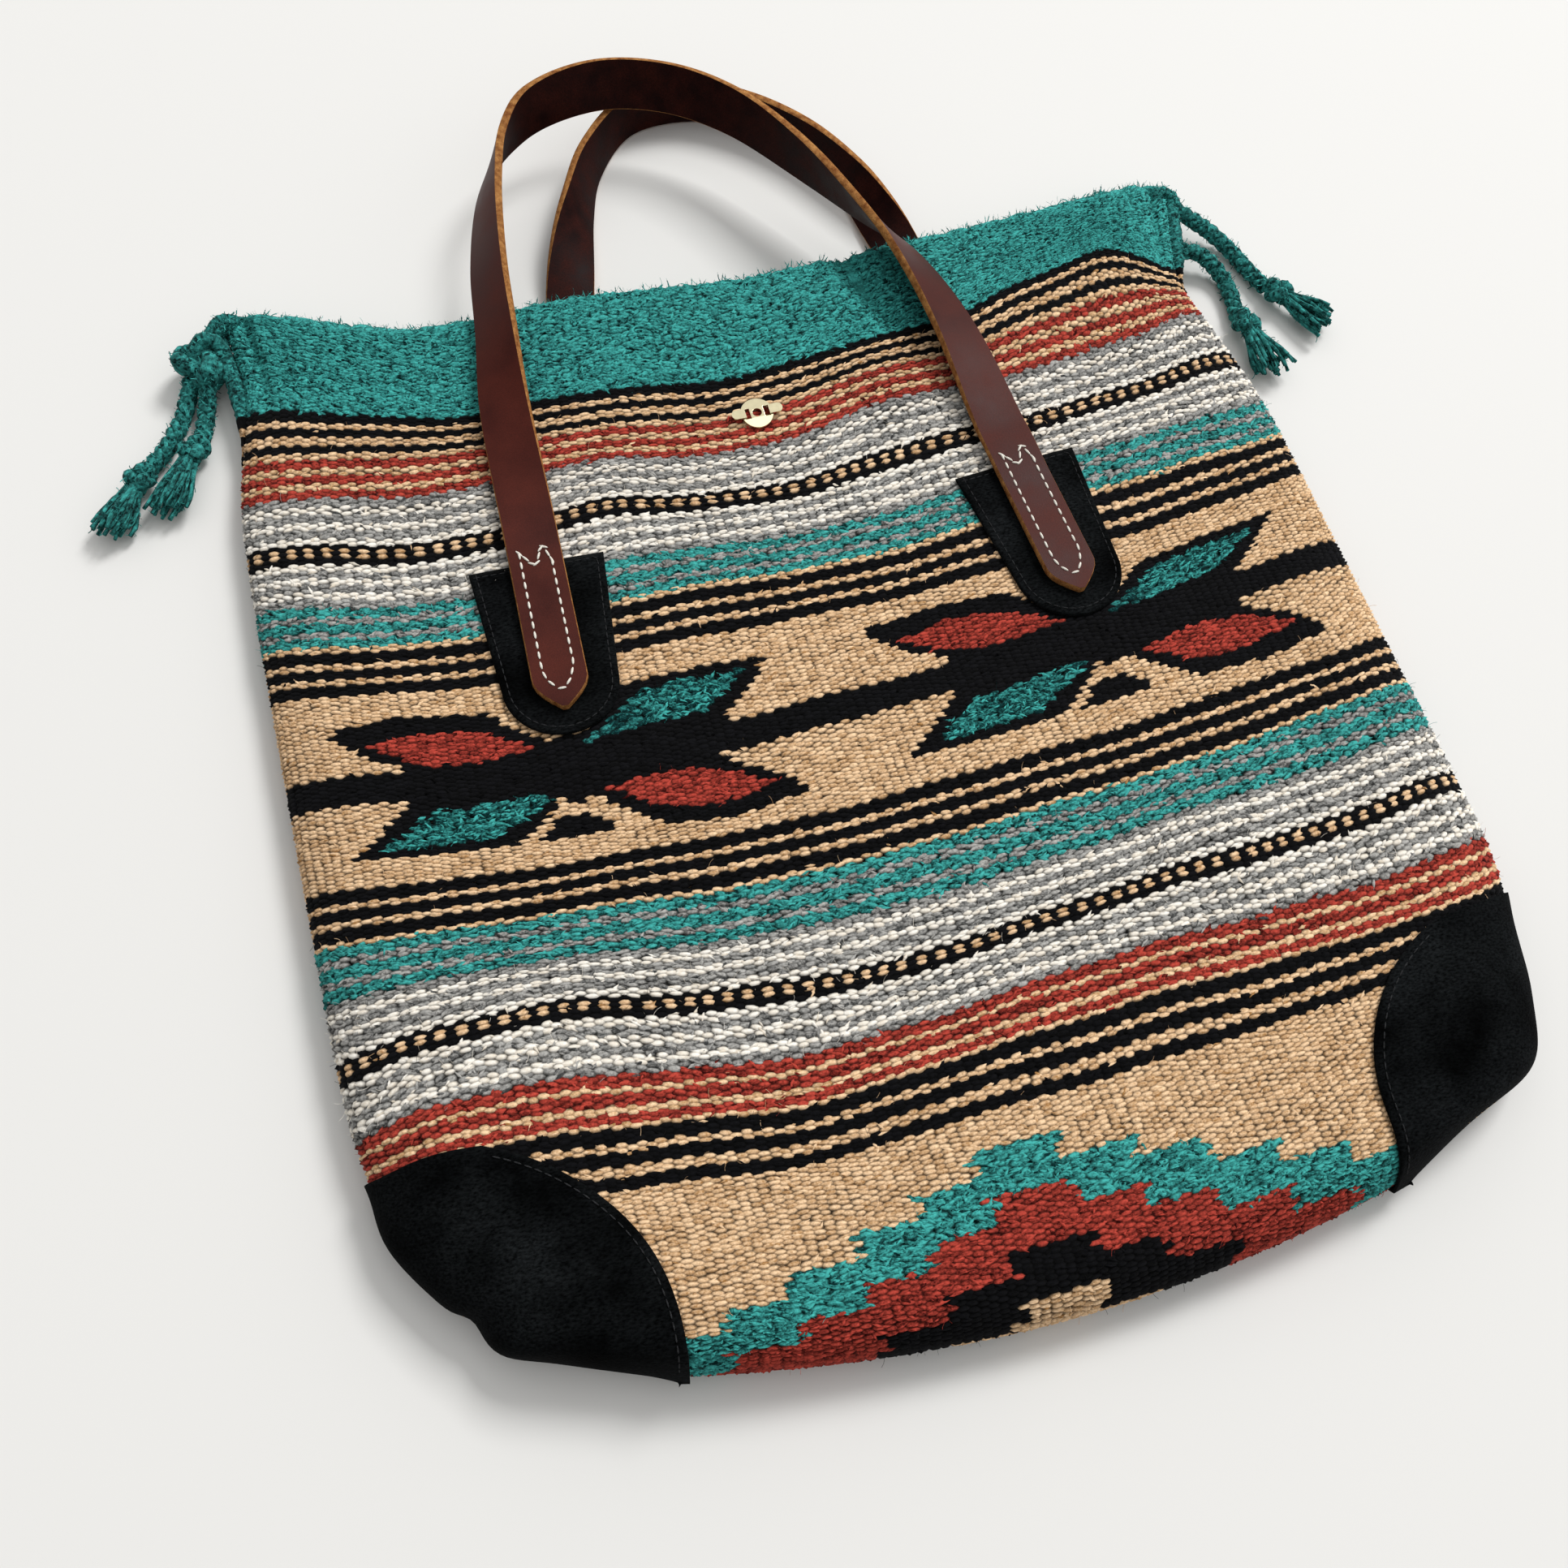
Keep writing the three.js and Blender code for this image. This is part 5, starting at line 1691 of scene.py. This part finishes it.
@dataclass
class Snap:
    """The magnetic snap: prongs in their CAD form, bent over thin plates with a hole and two slots."""

    finishes: Finishes
    prongs: tuple[str, ...] = ("snap_socket", "snap_stud")
    bends: tuple[tuple[str, float], ...] = (("snap_washer_front", 12.0), ("snap_washer_back", 0.0))
    edge: float = 0.16
    hole: float = 2.0  # radius
    slot: Place = (2.4, 5.2)
    slot_x: float = 4.3
    leg: Point = (4.2, 11.3, 0.9)  # an arm's start and end, and how far its root moves
    bend_y: float = -2.5  # where the plate's lower part is bent down

    def plate(self, node: str, bend: float) -> Mesh:
        """A round plate with its hole and slots, bent along a line below the hole.

        Args:
            node: the CAD washer that it stands for.
            bend: the bend in degrees.

        Returns:
            The plate's mesh, in place.
        """
        low, high = (np.array(corner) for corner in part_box(node))
        turn = np.linspace(0.0, 2 * math.pi, 48, endpoint=False)
        circle = np.stack([np.cos(turn), np.sin(turn)], axis=1)
        square = np.array([(-0.5, -0.5), (0.5, -0.5), (0.5, 0.5), (-0.5, 0.5)]) * self.slot
        outlines = [circle * (high[0] - low[0]) / MM / 2, circle * self.hole]
        outlines += [square + (side * self.slot_x, 0.0) for side in (-1, 1)]
        curve = bpy.data.curves.new(node + "_outline", "CURVE")
        curve.dimensions = "2D"
        curve.fill_mode = "BOTH"
        curve.extrude = (high[2] - low[2]) / 2 - self.edge * MM
        curve.bevel_depth = self.edge * MM
        curve.offset = -self.edge * MM
        for outline in outlines:
            spline = curve.splines.new("POLY")
            spline.points.add(len(outline) - 1)
            for point, (x, y) in zip(spline.points, outline * MM):
                point.co = (x, y, 0.0, 1.0)
            spline.use_cyclic_u = True
        mesh = take_mesh(node + "_plated", link(node + "_carrier", curve))
        shape = bmesh.new()
        shape.from_mesh(mesh)
        bmesh.ops.remove_doubles(shape, verts=shape.verts, dist=0.001 * MM)
        bmesh.ops.bisect_plane(shape, geom=[*shape.verts, *shape.edges, *shape.faces],
                               plane_co=(0.0, self.bend_y * MM, 0.0), plane_no=(0.0, 1.0, 0.0))
        for point in shape.verts:
            past = max(self.bend_y * MM - point.co.y, 0.0)
            point.co.z -= past * math.tan(math.radians(bend))
            point.co += Vector((low + high) / 2)
        bmesh.ops.recalc_face_normals(shape, faces=shape.faces)
        shape.to_mesh(mesh)
        shape.free()
        return mesh

    def spread(self, mesh: Mesh, node: str) -> None:
        """Moves the roots of the two arms apart, so that the slots show beside them.

        Args:
            mesh: the half's mesh.
            node: the CAD solid that it came from.
        """
        low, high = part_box(node)
        middle = (low[0] + high[0]) / 2 / MM
        start, end, most = self.leg
        for point in mesh.vertices:
            aside = point.co.x / MM - middle
            share = (end - abs(aside)) / (end - start)
            if 0.0 < share <= 1.0:
                point.co.x += math.copysign(most * share, aside) * MM

    def build(self) -> list[Object]:
        """Makes the plates and a rounded copy of each pronged half."""
        nickel = [self.finishes.nickel]
        pieces = []
        for node, bend in self.bends:
            mesh = self.plate(node, bend)
            pieces.append(add_piece(mesh, nickel, "nickel", node))
        for node in self.prongs:
            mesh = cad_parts[node].data.copy()
            mesh.name = node + "_plated"
            self.spread(mesh, node)
            piece = add_piece(mesh, nickel, "nickel", node)
            weld = piece.modifiers.new("weld", "WELD")
            weld.merge_threshold = 0.01 * MM
            bevel = piece.modifiers.new("edge", "BEVEL")
            bevel.width = self.edge * MM
            bevel.segments = 2
            bevel.angle_limit = math.radians(40.0)
            pieces.append(piece)
        return pieces


# Fringe


@dataclass
class Tassel:
    """One twisted fringe cord with its knot and frayed end.

    route runs from the bag to the knot, and tuft is the plan of the frayed end's tip.
    """

    place: str
    route: Points
    tuft: Place
    seed: int


TASSELS = (
    Tassel("left_upper", (
        (-233.5, 236.5, 7.5), (-236.6, 229.6, 5.0), (-239.6, 222.6, 4.0), (-243.4, 215.0, 4.0),
        (-249.2, 206.4, 4.0), (-257.0, 197.4, 4.6)), (-277.4, 166.0), 11),
    Tassel("left_lower", (
        (-223.4, 243.4, 12.4), (-225.6, 236.4, 10.6), (-227.6, 229.8, 7.6), (-229.8, 222.4, 5.0),
        (-232.0, 214.6, 4.0), (-234.2, 206.6, 4.6)), (-255.0, 171.5), 12),
    Tassel("right_upper", (
        (229.0, 230.0, 11.2), (236.0, 223.6, 9.2), (244.2, 216.0, 6.4), (249.8, 207.0, 4.4),
        (252.8, 198.2, 4.0), (255.4, 189.4, 4.0), (257.8, 181.0, 4.6)), (278.0, 151.0), 13),
    Tassel("right_lower", (
        (222.4, 206.0, 11.0), (230.8, 203.4, 9.4), (236.6, 198.2, 6.6), (239.6, 191.0, 4.6),
        (240.2, 183.4, 4.0), (239.2, 175.8, 4.0), (237.4, 168.0, 4.6)), (242.6, 130.0), 14),
)


def crossways(line: Array) -> Pair:
    """Level directions across a line of points, and the directions square to both."""
    tangent = unit(np.gradient(line, axis=0))
    across = unit(np.cross(tangent, [0.0, 0.0, 1.0]))
    return across, np.cross(across, tangent)


def trefoil(steps: int) -> Array:
    """Middle line of a trefoil knot, about 3 across."""
    turn = np.linspace(0.0, 2 * math.pi, steps)
    return np.stack([np.sin(turn) + 2 * np.sin(2 * turn), np.cos(turn) - 2 * np.cos(2 * turn),
                     -np.sin(3 * turn)], axis=1)


@dataclass
class Fringe:
    """Twisted cords, overhand knots, frayed ends and their roots at the two ends of the mouth."""

    finishes: Finishes
    diameter: float = 6.2
    plies: int = 3
    ply_radius: float = 2.05
    ply_offset: float = 1.8
    twist: float = 15.0  # length of one turn of the plies
    ply_sides: int = 9
    knot_length: float = 13.0
    knot_radius: float = 2.8
    knot_size: Place = (4.1, 6.0)  # across and up
    strands: int = 26
    strand_radius: float = 1.2
    strand_length: Place = (0.74, 1.02)  # shares of the tuft's length
    tuft_fan: Place = (3.4, 5.0)  # reach at the knot, and how much it grows
    tuft_height: float = 7.1
    fuzz: int = 260
    hank_radius: Place = (1.2, 1.9)
    lump_size: Point = (3.2, 3.4, 3.0)
    lump_radius: float = 3.1
    lump_turns: Places = ((0.3, 0.45), (2.2, -0.5), (4.1, 0.2))  # spin and lean of each loop
    left_lump: Point = (-227.0, 242.6, 11.2)
    left_hank: Points = (
        (-209.5, 257.0, 14.0), (-214.5, 256.5, 15.0), (-219.5, 253.5, 14.5), (-224.0, 248.5, 13.0))
    right_hank: Points = (
        (219.0, 236.0, 12.0), (224.0, 239.0, 13.0), (228.0, 236.0, 12.0), (229.5, 231.0, 11.0),
        (231.0, 228.0, 10.0))

    def plied(self, line: Array, turns: float) -> list[Array]:
        """Middle lines of the plies that twist round a line."""
        across, up = crossways(line)
        share = run_lengths(line) / run_lengths(line)[-1]
        plies = []
        for ply in range(self.plies):
            turn = 2 * math.pi * (turns * share + ply / self.plies)
            round_line = across * np.cos(turn)[:, None] + up * np.sin(turn)[:, None]
            plies.append(line + self.ply_offset * round_line)
        return plies

    def add(self, name: str, tubes: list[tuple[Array, Array, int]], seed: int, *nodes: str) -> Object:
        """Adds a piece of lumpy yarn.

        Args:
            name: the piece's name.
            tubes: the middle line, radii and sides of each of its yarns.
            seed: start of its chances.
            nodes: the CAD nodes that it stands for.

        Returns:
            The new object.
        """
        draw = np.random.default_rng(seed)
        points, faces, count = [], [], 0
        for line, radius, sides in tubes:
            lumpy = radius * (1 + draw.normal(0.0, 0.07, len(radius)))
            made, skin = tube(line, lumpy, sides, count)
            points.append(made)
            faces += skin
            count += len(made)
        mesh = make_mesh(name, np.vstack(points), faces)
        shade = draw.uniform(-0.5, 1.2, len(faces))
        set_wool(mesh, np.full(len(faces), Yarn.TEAL), shade, draw.uniform(0.22, 0.7, count))
        return add_piece(mesh, [self.finishes.wool], "yarn", *nodes)

    def cord(self, tassel: Tassel) -> tuple[Object, Array]:
        """The twisted cord of one tassel, and its middle line."""
        line = resample(catmull_rom(np.array(tassel.route), 12, True), 72)
        turns = run_lengths(line)[-1] / self.twist
        radius = np.full(len(line), self.ply_radius)
        tubes = [(ply, radius, self.ply_sides) for ply in self.plied(line, turns)]
        name = f"cord_{tassel.place}"
        return self.add(name, tubes, tassel.seed, "tassel_" + name), line

    def knot(self, tassel: Tassel) -> Object:
        """The overhand knot and the frayed yarn beyond it."""
        draw = np.random.default_rng(tassel.seed)
        end = np.array(tassel.route[-1])
        reach = np.array([tassel.tuft[0] - end[0], tassel.tuft[1] - end[1], 0.0])
        total = float(np.linalg.norm(reach))
        way = reach / total
        across = np.array([-way[1], way[0], 0.0])
        middle = np.array([end[0], end[1], self.tuft_height]) + way * (self.knot_length / 2)
        loop = trefoil(72) / 3
        long, wide, tall = self.knot_length / 2 - 1.6, *self.knot_size
        line = middle + way * loop[:, :1] * long + across * loop[:, 1:2] * wide
        line[:, 2] += loop[:, 2] * tall
        tubes = [(line, np.full(len(line), self.knot_radius), self.ply_sides)]
        stem = np.linspace(end - way * 2.0, middle, 6)
        tubes.append((stem, np.full(6, self.knot_radius), self.ply_sides))
        neck = middle + way * (self.knot_length / 2 - 3.0)
        for k in range(self.strands):
            angle = k * GOLDEN_TURN
            spread = math.sqrt((k + 0.5) / self.strands)
            span = (total - self.knot_length) * draw.uniform(*self.strand_length) + 2.0
            share = np.linspace(0.0, 1.0, 12)
            fan = self.tuft_fan[0] + self.tuft_fan[1] * smooth(share * 1.2)
            sway = draw.normal(0.0, 0.8)
            curl = np.sin(share * draw.uniform(3.0, 7.0) + draw.uniform(0.0, 6.0)) * share
            strand = neck + way * (share * span)[:, None]
            strand = strand + across * (spread * math.cos(angle) * fan + sway * share + curl)[:, None]
            strand[:, 2] += spread * math.sin(angle) * fan * 0.6 + curl * 0.4
            radius = self.strand_radius * (1.0 - 0.3 * share) * draw.uniform(0.8, 1.2)
            strand[:, 2] = np.maximum(strand[:, 2], radius + 0.3)
            tubes.append((strand, radius, 6))
        name = f"knot_{tassel.place}"
        return self.add(name, tubes, tassel.seed, "tassel_" + name)

    def hank(self, name: str, route: Points, reach: float, count: int, *nodes: str) -> Object:
        """A loose bundle of yarn ends that runs from the mouth's end to the cords."""
        draw = np.random.default_rng(len(name))
        line = resample(catmull_rom(np.array(route), 10, True), 40)
        across, up = crossways(line)
        share = np.linspace(0.0, 1.0, len(line))
        swell = 0.55 + 0.45 * np.sin(math.pi * share)
        tubes = []
        for k in range(count):
            angle = k * GOLDEN_TURN + draw.normal(0.0, 0.3) + share * draw.uniform(0.6, 1.8)
            out = reach * math.sqrt((k + 0.5) / count) * swell
            strand = line + across * (out * np.cos(angle))[:, None] + up * (out * np.sin(angle))[:, None]
            tubes.append((strand, np.full(len(line), draw.uniform(*self.hank_radius)), 7))
        return self.add(name, tubes, count, *nodes)

    def lump(self) -> Object:
        """The root knot: three tight loops of yarn drawn through each other."""
        tubes = []
        for spin, lean in self.lump_turns:
            x, y, z = (trefoil(90) * self.lump_size).T
            y, z = y * math.cos(lean) - z * math.sin(lean), y * math.sin(lean) + z * math.cos(lean)
            x, y = x * math.cos(spin) - y * math.sin(spin), x * math.sin(spin) + y * math.cos(spin)
            line = np.stack([x, y, z], axis=1) + self.left_lump
            tubes.append((line, np.full(len(line), self.lump_radius), 9))
        return self.add("root_knot", tubes, 31, "tassel_root_knot")

    def build(self) -> list[Object]:
        """Makes every cord with its knot, the roots and their loose fibres."""
        pieces = [
            self.lump(),
            self.hank("root_hank", self.left_hank, 3.6, 9, "tassel_root_knot"),
            self.hank("right_root", self.right_hank, 3.0, 8)]
        for tassel in TASSELS:
            cord, line = self.cord(tassel)
            knot = self.knot(tassel)
            pieces += [cord, knot]
        for piece in list(pieces):
            fuzz = Fuzz(self.fuzz, length=2.4, thick=0.32)
            mesh = fuzz.grow(piece.name + "_fuzz", piece.data, self.finishes.wool)
            pieces.append(add_piece(mesh, [self.finishes.wool], "yarn"))
        return pieces


# Stage


@dataclass
class Stage:
    """A pale floor, soft light and the photograph's viewpoint, all in millimetres on the cloth's plan."""

    eye: Point = (-142.2, -213.0, 536.9)
    right: Point = (0.9558, -0.2840, 0.0758)
    up: Point = (0.2339, 0.8911, 0.3888)
    lens: float = 33.54
    floor_colour: str = "dfdedb"
    floor_drop: float = 0.4
    floor_reach: float = 4000.0
    window: tuple[Point, float, float] = ((4300.0, 3350.0, 5750.0), 2400.0, 445.0)  # place, side and watts
    ceiling: tuple[Point, float, float] = ((530.0, 640.0, 2400.0), 600.0, 1.45)
    sky: Place = (0.3, 0.95)  # away from the window, and towards it

    def camera(self) -> None:
        """Sets the camera where the photograph was taken from."""
        data = bpy.data.cameras.new("camera")
        data.lens = self.lens
        data.sensor_width = 36.0
        camera = link("camera", data)
        right, up = Vector(self.right), Vector(self.up)
        turn = Matrix((right, up, right.cross(up))).transposed().to_4x4()
        camera.matrix_world = Matrix.Translation(Vector((np.array(self.eye) + ORIGIN) * MM)) @ turn
        bpy.context.scene.camera = camera

    def floor(self) -> None:
        """Lays a plain pale floor just under the bag."""
        mesh = bpy.data.meshes.new("floor")
        reach = self.floor_reach * MM
        z = -self.floor_drop * MM
        corners = [(-reach, -reach, z), (reach, -reach, z), (reach, reach, z), (-reach, reach, z)]
        mesh.from_pydata(corners, [], [(0, 1, 2, 3)])
        floor = link("floor", mesh)
        material, _, _ = new_finish("pale_floor")
        mesh.materials.append(end_finish(material, {
            "Base Color": linear(self.floor_colour), "Roughness": 0.9}))

    def lamp(self, name: str, place: Point, size: float, power: float) -> None:
        """Adds one soft square lamp that faces the bag.

        Args:
            name: the lamp's name.
            place: where it hangs.
            size: its side.
            power: its power in watts.
        """
        data = bpy.data.lights.new(name, "AREA")
        data.shape = "SQUARE"
        data.size = size * MM
        data.energy = power
        lamp = link(name, data)
        lamp.location = Vector(place) * MM
        lamp.rotation_euler = (-lamp.location).to_track_quat("-Z", "Y").to_euler()

    def lights(self) -> None:
        """Adds a large soft window light, a small one overhead and a sky that is brighter towards the
        window.
        """
        self.lamp("window", *self.window)
        self.lamp("ceiling", *self.ceiling)
        world = bpy.data.worlds.new("soft_sky")
        world.use_nodes = True
        tree = world.node_tree
        where = add_node(tree, "ShaderNodeTexCoord")
        window = Vector(self.window[0]).normalized()
        toward = add_node(tree, "ShaderNodeVectorMath", {0: where, 1: window}, operation="DOT_PRODUCT")
        away, near = self.sky
        power = add_node(tree, "ShaderNodeMapRange", {
            "Value": toward.outputs["Value"], "From Min": -0.2, "To Min": away, "To Max": near})
        feed(tree, tree.nodes["Background"], {"Color": (1.0, 1.0, 1.0, 1.0), "Strength": power})
        bpy.context.scene.world = world

    def build(self) -> None:
        """Builds the whole stage."""
        self.camera()
        self.floor()
        self.lights()
        bpy.context.scene.view_settings.view_transform = "Standard"


def plan_origin() -> Array:
    """Where the cloth plan's origin lies in the shared frame, found from the front washer."""
    snap_x, snap_v = -4.0, 382.0
    v = np.array(snap_v)
    s = (snap_x - CLOTH.mouth_shift * CLOTH.near_mouth(v)) / CLOTH.half_width(v)
    low, high = (np.array(corner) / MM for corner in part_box("snap_washer_front"))
    middle = (low + high) / 2
    return np.array([middle[0] - snap_x, middle[1] - float(CLOTH.plain_row(s, v)), 0.0])


ORIGIN = plan_origin()


def main() -> None:
    """Builds the stage and every sub-assembly, and notes the visual model's size."""
    logging.basicConfig(level=logging.INFO, format="%(message)s")
    finishes = Finishes()
    Stage().build()
    Fringe(finishes).build()
    Blanket(finishes).build()
    sides = {"left": -1, "right": 1}
    for label, side in sides.items():
        CornerPatch(f"corner_patch_{label}", side, finishes).build()
    for ends, loop in zip(STRAP_ENDS, (FRONT_LOOP, BACK_LOOP)):
        panel = ends.panel.name.lower()
        for label, side in sides.items():
            StrapPatch(f"strap_patch_{panel}_{label}", ends, side, finishes).build()
        Strap(f"strap_{panel}", ends, loop, finishes).build()
    Snap(finishes).build()


if __name__ == "__main__":
    main()
